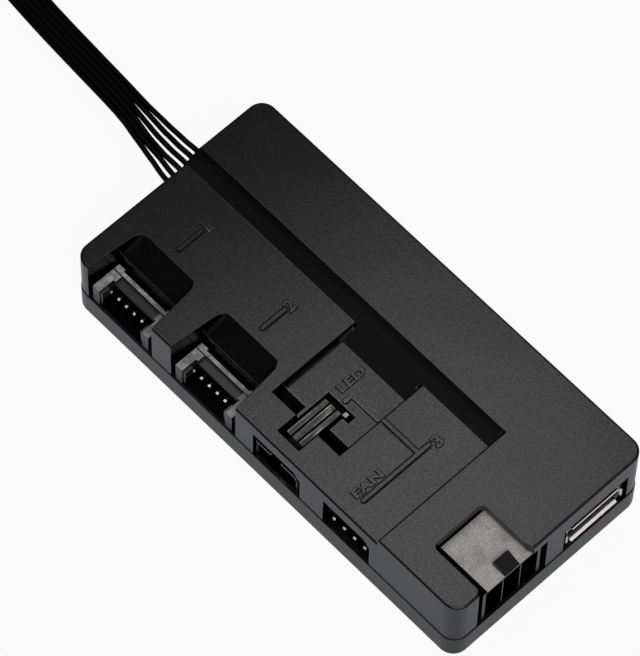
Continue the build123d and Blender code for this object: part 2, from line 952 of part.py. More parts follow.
def make_usb_shell():
    """The folded steel shell, with four flared lips and side tabs that stand on the board."""
    t = usb_sheet
    half = usb_width / 2
    back = usb_front - usb_depth
    y0 = usb_y - half
    y1 = usb_y + half
    shell = block(back, usb_front, y0, y1, usb_bottom, usb_top)
    shell -= block(back + t, usb_front + past, y0 + t, y1 - t, usb_bottom + t, usb_top - t)
    inset = usb_lip_inset
    for level, way in ((usb_top, 1), (usb_bottom, -1)):
        shell += prism_y(flared_lip(level, way), y0 + inset, y1 - inset)
    for edge, way in ((y1, 1), (y0, -1)):
        face = make_face(Polyline(flared_lip(edge, way), close=True))
        shell += extrude(Plane.XY.offset(usb_bottom + inset) * face, usb_height - 2 * inset)
        sheet = sorted((edge, edge - way * t))
        for x0 in (back + usb_tab_back, usb_front - usb_tab_front):
            shell += block(x0, x0 + usb_tab, *sheet, board_top, usb_bottom + inset)
    return shell


def make_usb_tongue():
    """The insulator: a block at the back of the shell and the tongue."""
    t = usb_sheet
    half = usb_width / 2 - t
    back = usb_front - usb_depth + t
    root = back + tongue_root
    tongue = block(back, root, usb_y - half, usb_y + half, usb_bottom + t, usb_top - t)
    side = half - tongue_side
    top = usb_top - t - tongue_gap
    low = top - tongue_thickness
    tongue += block(root - t, usb_front - tongue_inset, usb_y - side, usb_y + side, low, top)
    return tongue


def make_usb_contacts():
    """Four contact strips under the tongue."""
    top = usb_top - usb_sheet - tongue_gap - tongue_thickness
    start = usb_front - usb_depth + usb_sheet + tongue_root
    strips = []
    for n in range(contact_ways):
        y0 = usb_y + (n - (contact_ways - 1) / 2) * contact_pitch - contact_width / 2
        end = usb_front - 2 * tongue_inset
        strips.append(block(start, end, y0, y0 + contact_width, top - contact_sheet, top))
    return strips


# Parts on the board
def make_controller():
    """The controller chip: a square body with a dot at pin one."""
    top = board_top + chip_height
    chip = Pos(chip_x, chip_y, board_top + chip_height / 2) * Box(chip_side, chip_side, chip_height)
    chip = chamfer(chip.edges().group_by(Axis.Z)[-1], small_chamfer)
    dot = chip_side / 3
    return chip - upright(small_radius, chip_x - dot, chip_y + dot, top - chip_height / 10, top + past)


def make_chip_leads():
    """Flat leads along the controller's four sides."""
    near = chip_side / 2
    far = near + chip_lead_length
    top = board_top + chip_lead_sheet
    leads = []
    for n in range(chip_ways):
        offset = (n - (chip_ways - 1) / 2) * chip_lead_pitch - chip_lead_width / 2
        x0 = chip_x + offset
        y0 = chip_y + offset
        for way in (-1, 1):
            ends_x = sorted((chip_x + way * near, chip_x + way * far))
            ends_y = sorted((chip_y + way * near, chip_y + way * far))
            leads.append(block(*ends_x, y0, y0 + chip_lead_width, board_top, top))
            leads.append(block(x0, x0 + chip_lead_width, *ends_y, board_top, top))
    return leads


def make_regulators():
    """Two flat power regulators."""
    parts = []
    for x in regulator_places:
        middle = Pos(x, regulator_y, board_top + regulator_height / 2)
        body = middle * Box(regulator_length, regulator_width, regulator_height)
        body = chamfer(body.edges().group_by(Axis.Z)[-1], small_chamfer)
        half = regulator_length / 2 - small_radius
        tab_y = regulator_y + regulator_width / 2
        tab = block(x - half, x + half, tab_y, tab_y + regulator_tab, board_top, board_top + small_radius)
        parts.append(body + tab)
    return parts


def make_capacitors():
    """Three can capacitors on square feet."""
    cans = []
    foot_top = board_top + can_foot_height
    for x in can_places:
        foot = Pos(x, can_y, board_top + can_foot_height / 2) * Box(can_foot, can_foot, can_foot_height)
        foot = chamfer(foot.edges().filter_by(Axis.Z).sort_by(Axis.Y)[-2:], 4 * small_chamfer)
        can = upright(can_radius, x, can_y, foot_top, foot_top + can_height)
        can = chamfer(can.edges().group_by(Axis.Z)[-1], small_radius)
        cans.append(foot + can)
    return cans


def make_inductor():
    """The square power inductor with its round wound core."""
    top = board_top + inductor_height
    middle = Pos(inductor_x, inductor_y, board_top + inductor_height / 2)
    case = middle * Box(inductor_side, inductor_side, inductor_height)
    case = chamfer(case.edges().filter_by(Axis.Z), 4 * small_chamfer)
    return case + upright(inductor_core, inductor_x, inductor_y, top, top + small_radius)


def make_crystal():
    """The clock crystal's oval can."""
    plan = Pos(crystal_x, crystal_y, board_top) * SlotOverall(crystal_length, crystal_width)
    can = extrude(plan, crystal_height)
    return chamfer(can.edges().group_by(Axis.Z)[-1], small_radius)


# Six-wire lead
def lead_row(pitch):
    """Sideways places of the lead's six ways."""
    return [(n - (lead_ways - 1) / 2) * pitch for n in range(lead_ways)]


def make_lead_socket(pins):
    """The six-way header on the board that the lead's plug sits in."""
    half = lead_width / 2 + hole_clear
    outer = lead_width / 2 + lead_socket_wall
    top = wire_z + plug_half + hole_clear
    end = lead_start + plug_length + hole_clear
    lid_top = top + lead_socket_wall
    socket = block(
        lead_socket_front, lead_socket_back, lead_y - outer, lead_y + outer, board_top, lid_top
    )
    hollow = block(lead_socket_front - past, end, lead_y - half, lead_y + half, wire_z - plug_half, top)
    return socket - hollow - pins


def make_lead_pins():
    """Six bent pins of the lead's header."""
    h = pin_side / 2
    pins = []
    for place in lead_row(lead_pitch):
        y = lead_y + place
        pins.append(
            bent_pin(
                pin_side,
                lead_start + lead_pin_inset,
                lead_socket_back + lead_socket_wall,
                wire_z,
                lambda outline: prism_y(outline, y - h, y + h),
            )
        )
    return pins


def make_lead_plug(pins):
    """The lead's plug housing, seated in its header."""
    half = lead_width / 2
    end = lead_start + plug_length
    plug = block(lead_start, end, lead_y - half, lead_y + half, wire_z - plug_half, wire_z + plug_half)
    slot_x = lead_start + plug_slot
    h = plug_slot / 2
    for place in lead_row(lead_pitch):
        y = lead_y + place
        plug -= block(slot_x, slot_x + plug_half, y - h, y + h, wire_z + plug_slot, wire_z + past)
    return plug - pins


def arc_radii(points):
    """The largest tangent radius that each inner point's two runs allow."""
    radii = []
    for before, here, after in zip(points, points[1:], points[2:]):
        first = Vector(*here) - Vector(*before)
        second = Vector(*after) - Vector(*here)
        turn = math.radians(first.get_angle(second))
        radii.append(0.45 * min(first.length, second.length) / math.tan(turn / 2))
    return radii


def section_area():
    """Area of the flat lead's section."""
    return (ribbon_width - wire_diameter) * wire_diameter + math.pi * wire_diameter**2 / 4


def flat_lead(points):
    """A flat six-core lead swept along straight runs joined by tangent arcs."""
    radii = arc_radii(points)
    path = FilletPolyline(*points, radius=radii)
    start = Plane(origin=path @ 0, x_dir=Vector(0, 0, 1).cross(path % 0), z_dir=path % 0)
    lead = sweep(start * SlotOverall(ribbon_width, wire_diameter), path)
    expected = path.length * section_area()
    print("lead radii", [round(r, 1) for r in radii])
    print("lead volume", round(lead.volume, 1), "section times length", round(expected, 1))
    return lead


def make_lead_wires():
    """Six wires that leave the plug at its pitch and close up into the flat lead."""
    wires = []
    end = Vector(*route[join_index])
    run = Vector(*route[join_index + 1]) - end
    across = Vector(0, 0, 1).cross(run).normalized()
    first_x = x_far - 3 * wire_diameter
    second_x = route[1][0] - wire_diameter
    for n, place in enumerate(lead_row(lead_pitch)):
        y = lead_y + place
        close = end - across * lead_row(wire_diameter)[n] - run.normalized() * face_gap
        points = [
            (lead_start, y, wire_z),
            (first_x, y, wire_z),
            (second_x, y + wire_closing * (close.Y - y), wire_z - face_gap),
            (close.X, close.Y, close.Z),
        ]
        path = FilletPolyline(*points, radius=arc_radii(points))
        start = Plane(origin=path @ 0, z_dir=path % 0)
        wires.append(sweep(start * Circle(wire_diameter / 2), path))
    return wires


def make_hank():
    """The put-away length, wound on edge into an oval of two turns."""
    base = Pos(hank_x, hank_y, tie_sheet)
    ring = extrude(base * SlotOverall(hank_length, hank_width), ribbon_width)
    inside = SlotOverall(hank_length - 2 * hank_wall, hank_width - 2 * hank_wall)
    return ring - extrude(base * inside, ribbon_width)


def make_hank_ties():
    """Two ties, one round each long side of the oval."""
    ties = []
    top = tie_sheet + ribbon_width
    half = hank_wall / 2
    out = half + tie_sheet
    for way in (-1, 1):
        y = hank_y + way * (hank_width - hank_wall) / 2
        x0 = hank_x - way * tie_shift - tie_width / 2
        x1 = x0 + tie_width
        outer = block(x0, x1, y - out, y + out, 0, top + tie_sheet)
        ties.append(outer - block(x0 - past, x1 + past, y - half, y + half, tie_sheet, top))
    return ties


def make_end_connector():
    """The six-way connector on the lead's far end, inside the oval."""
    end = Vector(*tail_route[-1])
    run = end - Vector(*tail_route[-2])
    heading = math.degrees(math.atan2(run.Y, run.X))
    height = 2 * end.Z
    half = end_width / 2
    h = end_cell / 2
    cell_x = end_length / 3
    body = block(face_gap, end_length, -half, half, 0, height)
    for y in lead_row(end_pitch):
        body -= block(cell_x, end_length + past, y - h, y + h, end.Z - h, end.Z + h)
        body -= block(end_cell, cell_x, y - h, y + h, height - end_cell, height + past)
    latch_end = end_length - 2 * end_cell
    body += block(end_cell, latch_end, -end_latch / 2, end_latch / 2, height - h, height + tie_sheet)
    return Pos(end.X, end.Y, 0) * Rot(0, 0, heading) * body


def lead_lies(points, blocker):
    """A flat lead cut back to where it meets the hank."""
    lead = flat_lead(points) - blocker
    return lead.solids().sort_by(SortBy.VOLUME)[-1]


def build_nodes():
    """Every piece of the hub, by node name."""
    light_back = y_front + light_recess + light_depth + row_pin_bend
    light_level = board_top + light_height / 2
    light_pins = make_row_pins(light_x, light_ways, y_front + light_pin_inset, light_back, light_level)
    fan_back = y_front + fan_base_inset + fan_base + row_pin_bend
    fan_pins = make_row_pins(fan_x, fan_ways, y_front + fan_pin_inset, fan_back, board_top + fan_pin_rise)
    port_pins = [make_port_pins(x) for x in port_places]
    power_pins = make_power_pins()
    lead_pins = make_lead_pins()
    every_pin = [*light_pins, *fan_pins, *port_pins[0], *port_pins[1], *power_pins, *lead_pins]
    hank = make_hank()
    nodes = {
        "base_tray": make_tray(),
        "top_cover": make_cover(),
        "circuit_board": make_board(every_pin),
        "case_screws": make_screws(),
        "light_socket": make_light_socket(light_pins),
        "light_pins": light_pins,
        "fan_header": make_fan_header(fan_pins),
        "fan_pins": fan_pins,
        "power_inlet": make_power_inlet(power_pins),
        "power_pins": power_pins,
        "usb_shell": make_usb_shell(),
        "usb_tongue": make_usb_tongue(),
        "usb_contacts": make_usb_contacts(),
        "controller_chip": make_controller(),
        "chip_leads": make_chip_leads(),
        "regulators": make_regulators(),
        "capacitors": make_capacitors(),
        "inductor": make_inductor(),
        "crystal": make_crystal(),
        "lead_socket": make_lead_socket(lead_pins),
        "lead_pins": lead_pins,
        "lead_plug": make_lead_plug(lead_pins),
        "lead_wires": make_lead_wires(),
        "flat_lead": lead_lies(route[join_index:], hank),
        "lead_hank": hank,
        "hank_ties": make_hank_ties(),
        "lead_tail": lead_lies(tail_route, hank),
        "end_connector": make_end_connector(),
    }
    for n, x in enumerate(port_places):
        nodes[f"port_{n + 1}_shell"] = make_port_shell(x, port_pins[n])
        nodes[f"port_{n + 1}_pins"] = port_pins[n]
    return nodes


def main():
    """Write one STEP file for each node."""
    os.makedirs("parts", exist_ok=True)
    for name, shape in build_nodes().items():
        solid = Compound(children=list(shape)) if isinstance(shape, list) else shape
        export_step(solid, f"parts/{name}.step")


main()
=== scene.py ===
"""Looks of a fan and light controller hub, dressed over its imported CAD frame.

Everything is in metres in the frame's own axes: +X is the end with the power inlet, the ports open
towards -Y and the six-wire lead leaves at -X.
"""
import logging
import math
from dataclasses import dataclass, field
from enum import Enum

import bpy
from mathutils import Matrix, Vector


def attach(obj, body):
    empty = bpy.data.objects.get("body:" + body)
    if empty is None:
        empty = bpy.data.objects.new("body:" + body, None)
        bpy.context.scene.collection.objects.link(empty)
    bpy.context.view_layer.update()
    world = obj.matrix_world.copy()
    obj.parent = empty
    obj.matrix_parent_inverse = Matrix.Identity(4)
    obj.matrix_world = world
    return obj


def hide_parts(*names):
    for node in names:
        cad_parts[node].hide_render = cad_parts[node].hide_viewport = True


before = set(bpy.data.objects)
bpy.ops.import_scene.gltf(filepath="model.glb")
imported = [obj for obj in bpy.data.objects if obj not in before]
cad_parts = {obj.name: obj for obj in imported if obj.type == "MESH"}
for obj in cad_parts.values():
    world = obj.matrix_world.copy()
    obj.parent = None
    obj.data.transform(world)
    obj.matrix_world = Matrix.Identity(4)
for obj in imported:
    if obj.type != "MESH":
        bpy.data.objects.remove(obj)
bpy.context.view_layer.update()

MM = 0.001
BODY = "root"
NOISE_SPAN = (0.3, 0.7)
EDGE_SAMPLES = 6
WHITE = (1.0, 1.0, 1.0)
log = logging.getLogger("hub")

Colour = tuple[float, float, float]
Point = tuple[float, float, float]
Span = tuple[float, float]
Value = float | tuple | bpy.types.NodeSocket


class Slot(Enum):
    """Names of two of the record's material slots."""

    COVER = "cover_plastic"
    WIRE = "wire_jacket"


class Ray(Enum):
    """Kinds of ray that see a white surround."""

    CAMERA = "Is Camera Ray"
    GLOSSY = "Is Glossy Ray"
    TRANSMISSION = "Is Transmission Ray"


def scaled(colour: Colour, share: float) -> Colour:
    """Lighten or darken a colour.

    Args:
        colour: the colour.
        share: what each of its parts is multiplied by.

    Returns:
        The new colour.
    """
    return tuple(share * part for part in colour)


def progress(run: float, start: float, end: float) -> float:
    """Work out how far a run has come.

    Args:
        run: where it is.
        start: where it starts.
        end: where it ends.

    Returns:
        0 up to the start, 1 past the end, and the share between them.
    """
    return min(max((run - start) / (end - start), 0.0), 1.0)


class Tree:
    """A node tree, with short calls that add nodes and feed their sockets."""

    def __init__(self, tree: bpy.types.NodeTree) -> None:
        """Keep the node tree that the calls work on."""
        self.tree = tree

    def add(self, kind: str, inputs: dict | None = None, **settings: object) -> bpy.types.Node:
        """Add one node.

        Args:
            kind: the node's Blender type.
            inputs: a constant or another node's socket for each named input.
            settings: the node's own properties.

        Returns:
            The new node.
        """
        node = self.tree.nodes.new(kind)
        for key, value in settings.items():
            setattr(node, key, value)
        for key, value in (inputs or {}).items():
            if isinstance(value, bpy.types.NodeSocket):
                self.tree.links.new(value, node.inputs[key])
            else:
                node.inputs[key].default_value = value
        return node

    def link(self, source: bpy.types.NodeSocket, target: bpy.types.NodeSocket) -> None:
        """Feed an input from another node's socket, in place of what fed it.

        Args:
            source: the socket that feeds.
            target: the input that is fed.
        """
        self.tree.links.new(source, target)

    def math(self, operation: str, first: Value, second: Value = 0.0) -> bpy.types.NodeSocket:
        """Combine two values.

        Args:
            operation: the Math node's operation.
            first: the first value or socket.
            second: the second value or socket.

        Returns:
            The result's socket.
        """
        return self.add("ShaderNodeMath", {0: first, 1: second}, operation=operation).outputs[0]

    def spread(self, value: Value, low: float, high: float, span: Span = (0.0, 1.0)) -> bpy.types.NodeSocket:
        """Map a mask to a range.

        Args:
            value: the mask's socket.
            low: the result at the span's start.
            high: the result at the span's end.
            span: the part of the mask that is mapped.

        Returns:
            The result's socket.
        """
        inputs = {"Value": value, "From Min": span[0], "From Max": span[1], "To Min": low, "To Max": high}
        return self.add("ShaderNodeMapRange", inputs).outputs["Result"]

    def tint(self, mask: Value, first: Value, second: Value) -> bpy.types.NodeSocket:
        """Mix two colours by a mask.

        Args:
            mask: the mask's socket.
            first: the colour, or a colour's socket, where the mask is 0.
            second: the colour, or a colour's socket, where the mask is 1.

        Returns:
            The mixed colour's socket.
        """
        ends = [(*end, 1.0) if isinstance(end, tuple) else end for end in (first, second)]
        inputs = {0: mask, 6: ends[0], 7: ends[1]}
        return self.add("ShaderNodeMix", inputs, data_type="RGBA").outputs[2]

    def noise(self, where: bpy.types.NodeSocket, scale: Value, detail: float = 2.0) -> bpy.types.NodeSocket:
        """Add a noise field.

        Args:
            where: the coordinates' socket.
            scale: cells per metre.
            detail: octaves of finer noise.

        Returns:
            The field's socket, about 0.3 to 0.7.
        """
        inputs = {"Vector": where, "Scale": scale, "Detail": detail}
        return self.add("ShaderNodeTexNoise", inputs).outputs["Fac"]


class Effect:
    """A shader node group that more than one material uses, built once."""

    label: str = ""
    inputs: dict[str, float] = {}
    outputs: tuple[str, ...] = ()

    def group(self) -> bpy.types.NodeTree:
        """Make the group, or find it if it is there.

        Returns:
            The group's node tree.
        """
        found = bpy.data.node_groups.get(self.label)
        if found:
            return found
        made = bpy.data.node_groups.new(self.label, "ShaderNodeTree")
        for name, value in self.inputs.items():
            socket = made.interface.new_socket(name, in_out="INPUT", socket_type="NodeSocketFloat")
            socket.default_value = value
        for name in self.outputs:
            made.interface.new_socket(name, in_out="OUTPUT", socket_type="NodeSocketFloat")
        tree = Tree(made)
        made_outputs = self.wire(tree, tree.add("NodeGroupInput"))
        tree.add("NodeGroupOutput", made_outputs)
        return made

    def wire(self, tree: Tree, source: bpy.types.Node) -> dict[str, bpy.types.NodeSocket]:
        """Make the group's nodes.

        Args:
            tree: the group's tree.
            source: the group's input node.

        Returns:
            The socket that feeds each output.
        """
        raise NotImplementedError

    def place(self, tree: Tree, **values: float) -> bpy.types.Node:
        """Put the group in a material.

        Args:
            tree: the material's tree.
            values: the group's inputs.

        Returns:
            The group's node.
        """
        return tree.add("ShaderNodeGroup", values, node_tree=self.group())


class SparkGrain(Effect):
    """Fine grain of a spark-eroded mould, with slow clouds of sheen."""

    label = "spark_grain"
    inputs = {"Scale": 4000.0}
    outputs = ("Grain", "Cloud")
    cloud_share: float = 0.012
    octaves: float = 3.0

    def wire(self, tree: Tree, source: bpy.types.Node) -> dict[str, bpy.types.NodeSocket]:
        """Make the grain's and the clouds' noise; see Effect.wire."""
        where = tree.add("ShaderNodeTexCoord").outputs["Object"]
        scale = source.outputs["Scale"]
        fine = tree.noise(where, scale, self.octaves)
        slow = tree.noise(where, tree.math("MULTIPLY", scale, self.cloud_share), self.octaves)
        return {"Grain": fine, "Cloud": tree.spread(slow, 0.0, 1.0, NOISE_SPAN)}


class Scuffs(Effect):
    """Mottled scuff marks and short scratches of handled nylon."""

    label = "scuffs"
    inputs = {"Scale": 900.0, "Reach": 0.5}
    outputs = ("Mottle", "Scratch")
    mottle_octaves: float = 4.0
    mottle_span: Span = (0.32, 0.68)
    scratch_scale: float = 3.0
    scratch_span: Span = (0.58, 0.72)
    stretch: tuple[Point, Point] = ((1.0, 0.12, 1.0), (0.1, 1.0, 1.0))
    turns: tuple[float, ...] = (0.5, -0.3)

    def wire(self, tree: Tree, source: bpy.types.Node) -> dict[str, bpy.types.NodeSocket]:
        """Make the mottle and two sets of scratches; see Effect.wire."""
        where = tree.add("ShaderNodeTexCoord").outputs["Object"]
        scale = source.outputs["Scale"]
        mottle = tree.noise(where, scale, self.mottle_octaves)
        mottle = tree.spread(mottle, 0.0, 1.0, self.mottle_span)
        finer = tree.math("MULTIPLY", scale, self.scratch_scale)
        lines = None
        for stretch, turn in zip(self.stretch, self.turns):
            turned = tree.add("ShaderNodeMapping", {"Vector": where, "Rotation": (0.0, 0.0, turn)})
            drawn = tree.add("ShaderNodeMapping", {"Vector": turned.outputs[0], "Scale": stretch})
            line = tree.spread(tree.noise(drawn.outputs[0], finer), 0.0, 1.0, self.scratch_span)
            lines = line if lines is None else tree.math("MAXIMUM", lines, line)
        worn_sheen = tree.math("MULTIPLY", lines, tree.math("GREATER_THAN", source.outputs["Reach"], mottle))
        return {"Mottle": mottle, "Scratch": worn_sheen}


class SheenAndShadeMasks(Effect):
    """Masks that follow a connector's own levels: its top faces, where a pale sheen is painted, and its
    depths, where black shade is painted.
    """

    label = "sheen_and_shade_masks"
    inputs = {
        "Low": 0.0,
        "High": 1.0,
        "Back": 1.0,
        "Side": 1.0,
        "Depth": 0.0,
        "Front": 0.0,
        "Margin": -1.0,
        "Rim": -1.0,
        "Rim Low": 0.0,
    }
    outputs = ("Top", "Tip", "Deep", "Rim")
    upward: float = 0.6
    tip_level: float = 0.9

    def wire(self, tree: Tree, source: bpy.types.Node) -> dict[str, bpy.types.NodeSocket]:
        """Make the masks from place and facing; see Effect.wire.

        Top is 1 on faces that look up between Low and High, or past Back along +Y, where a pale sheen is
        painted. Tip is 1 on those past Side along +X and near Low or above it, where a glint is painted. Deep
        is 1 below Depth, apart from faces that look along +X where Front is 1, and on upward faces short of
        Margin along Y; it is where shade is painted. Rim is 1 short of Rim along Y and above Rim Low, where a
        highlight is painted on edges.
        """
        where = tree.add("ShaderNodeTexCoord")
        place = tree.add("ShaderNodeSeparateXYZ", {0: where.outputs["Object"]}).outputs
        facing = tree.add("ShaderNodeSeparateXYZ", {0: where.outputs["Normal"]}).outputs
        limit = source.outputs
        up = tree.math("GREATER_THAN", facing["Z"], self.upward)
        above = tree.math("GREATER_THAN", place["Z"], limit["Low"])
        below = tree.math("LESS_THAN", place["Z"], limit["High"])
        level = tree.math("MULTIPLY", above, below)
        level = tree.math("MAXIMUM", level, tree.math("GREATER_THAN", place["Y"], limit["Back"]))
        # Tip marks a painted glint on upward faces past Side.
        tip = tree.math("GREATER_THAN", place["X"], limit["Side"])
        raised = tree.math("GREATER_THAN", place["Z"], tree.math("MULTIPLY", limit["Low"], self.tip_level))
        tip = tree.math("MULTIPLY", tip, raised)
        ahead = tree.math("GREATER_THAN", facing["X"], self.upward)
        # Deep: painted shade below Depth, and on upward faces short of Margin along Y as a painted contact
        # shadow beside a wall.
        hidden = tree.math("SUBTRACT", 1.0, tree.math("MULTIPLY", ahead, limit["Front"]))
        deep = tree.math("MULTIPLY", tree.math("LESS_THAN", place["Z"], limit["Depth"]), hidden)
        edge = tree.math("MULTIPLY", tree.math("LESS_THAN", place["Y"], limit["Margin"]), up)
        high = tree.math("GREATER_THAN", place["Z"], limit["Rim Low"])
        return {
            "Top": tree.math("MULTIPLY", level, up),
            "Tip": tree.math("MULTIPLY", tip, up),
            "Deep": tree.math("MAXIMUM", deep, edge),
            "Rim": tree.math("MULTIPLY", tree.math("LESS_THAN", place["Y"], limit["Rim"]), high),
        }


class EdgeHighlights(Effect):
    """A mask of the edges, where pale highlights are painted."""

    label = "edge_highlights"
    inputs = {"Radius": 0.2 * MM}
    outputs = ("Edge",)
    samples: int = 8
    turn: Span = (0.86, 0.985)

    def wire(self, tree: Tree, source: bpy.types.Node) -> dict[str, bpy.types.NodeSocket]:
        """Compare the rounded normal with the plain one; see Effect.wire."""
        plain = tree.add("ShaderNodeTexCoord").outputs["Normal"]
        soft = tree.add("ShaderNodeBevel", {"Radius": source.outputs["Radius"]}, samples=self.samples)
        alike = tree.add("ShaderNodeVectorMath", {0: soft.outputs[0], 1: plain}, operation="DOT_PRODUCT")
        return {"Edge": tree.spread(alike.outputs["Value"], 1.0, 0.0, self.turn)}


class Finish:
    """What every finish does: make its material once and hand it out."""

    name: str

    def material(self) -> bpy.types.Material:
        """Make the material, or find it if it is there.

        Returns:
            The finish's material.
        """
        found = bpy.data.materials.get(self.name)
        if found:
            return found
        made = bpy.data.materials.new(self.name)
        made.use_nodes = True
        made.node_tree.nodes.clear()
        tree = Tree(made.node_tree)
        shader = self.shade(tree)
        tree.add("ShaderNodeOutputMaterial", {"Surface": shader.outputs[0]})
        return made

    def shade(self, tree: Tree) -> bpy.types.Node:
        """Make the shader's nodes.

        Args:
            tree: the material's tree.

        Returns:
            The surface shader.
        """
        raise NotImplementedError

    def dress(self, *names: str) -> None:
        """Put the finish on the CAD nodes of these names."""
        for name in names:
            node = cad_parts[name]
            node.data.materials.clear()
            node.data.materials.append(self.material())
            log.info("dressed %s in %s", name, self.name)


@dataclass(frozen=True)
class MouldedPlastic(Finish):
    """Black moulded plastic: grain, slow sheen and softened edges.

    The grain's pits shine less, as a black metal would.
    """

    name: str
    colour: Colour = (0.003, 0.003, 0.0034)
    roughness: float = 0.26
    swing: float = 0.02
    grain: float = 2600.0
    pits: float = 0.34
    pit_span: Span = (0.36, 0.64)
    cloud_shades: Span = (0.8, 1.25)
    depth: float = 0.012 * MM
    edge: float = 0.18 * MM
    specular: float = 0.58

    def shade(self, tree: Tree) -> bpy.types.Node:
        """Make the plastic's shader; see Finish.shade."""
        grain = SparkGrain().place(tree, Scale=self.grain)
        cloud = grain.outputs["Cloud"]
        dark, light = (scaled(self.colour, share) for share in self.cloud_shades)
        soft = tree.add("ShaderNodeBevel", {"Radius": self.edge}, samples=EDGE_SAMPLES)
        bump = tree.add(
            "ShaderNodeBump",
            {
                "Strength": 1.0,
                "Distance": self.depth,
                "Height": grain.outputs["Grain"],
                "Normal": soft.outputs[0],
            },
        )
        return tree.add(
            "ShaderNodeBsdfPrincipled",
            {
                "Base Color": tree.tint(cloud, dark, light),
                "Metallic": tree.spread(grain.outputs["Grain"], 0.0, self.pits, self.pit_span),
                "Roughness": tree.spread(cloud, self.roughness - self.swing, self.roughness + self.swing),
                "Specular IOR Level": self.specular,
                "Normal": bump.outputs[0],
            },
        )


@dataclass(frozen=True)
class LidPlastic(MouldedPlastic):
    """The lid's plastic: a pale highlight is painted on its lower edges, and painted shade makes its ramp and
    inner walls reflect less.
    """

    # The painted edge highlight's colour, reach and the heights it is painted between.
    pale_sheen: Colour = (0.1, 0.1, 0.103)
    reach: float = 0.32 * MM
    highlight_low: float = 7.0 * MM
    highlight_high: float = 16.6 * MM
    bend: Span = (0.6, 0.95)
    # Where the ramp and the inner walls get painted shade, and how much.
    ramp_foot: float = 0.2 * MM
    ramp_head: Span = (5.6 * MM, 7.6 * MM)
    ramp_lean: float = -0.3
    ramp_dim: Span = (0.35, 0.8)
    wall_end: float = 20.0 * MM
    wall_dim: float = 0.85
    facing_share: float = 0.3

    def shade(self, tree: Tree) -> bpy.types.Node:
        """Paint highlights on the edges and shade on the ramp and walls; see Finish.shade."""
        shader = super().shade(tree)
        where = tree.add("ShaderNodeTexCoord")
        place = tree.add("ShaderNodeSeparateXYZ", {0: where.outputs["Object"]}).outputs
        facing = tree.add("ShaderNodeSeparateXYZ", {0: where.outputs["Normal"]}).outputs
        # Inside occlusion finds the convex edges, where the pale highlight is painted.
        inner = tree.add(
            "ShaderNodeAmbientOcclusion", {"Distance": self.reach}, inside=True, only_local=True
        )
        edge = tree.spread(inner.outputs["AO"], 1.0, 0.0, self.bend)
        above = tree.math("GREATER_THAN", place["Z"], self.highlight_low)
        below = tree.math("LESS_THAN", place["Z"], self.highlight_high)
        edge = tree.math("MULTIPLY", edge, tree.math("MULTIPLY", above, below))
        # Painted shade: the ramp, leaning to -Y, and the walls facing +X short of wall_end reflect less; the
        # ramp more so towards +Y.
        lean = tree.math("LESS_THAN", facing["Y"], self.ramp_lean)
        lean = tree.math("MULTIPLY", lean, tree.math("GREATER_THAN", facing["Z"], self.facing_share))
        ramp = tree.math("MULTIPLY", lean, tree.math("GREATER_THAN", place["Y"], self.ramp_foot))
        dim = tree.math("MULTIPLY", ramp, tree.spread(place["Y"], *self.ramp_dim, self.ramp_head))
        wall = tree.math("GREATER_THAN", facing["X"], self.facing_share)
        wall = tree.math("MULTIPLY", wall, tree.math("LESS_THAN", place["X"], self.wall_end))
        dim = tree.math("MAXIMUM", dim, tree.math("MULTIPLY", wall, self.wall_dim))
        # The painted shade raises the metallic of the black base; the painted highlight tints the base
        # colour.
        pits = shader.inputs["Metallic"].links[0].from_socket
        plain = shader.inputs["Base Color"].links[0].from_socket
        tree.link(tree.math("MAXIMUM", pits, dim), shader.inputs["Metallic"])
        tree.link(tree.tint(edge, plain, self.pale_sheen), shader.inputs["Base Color"])
        return shader


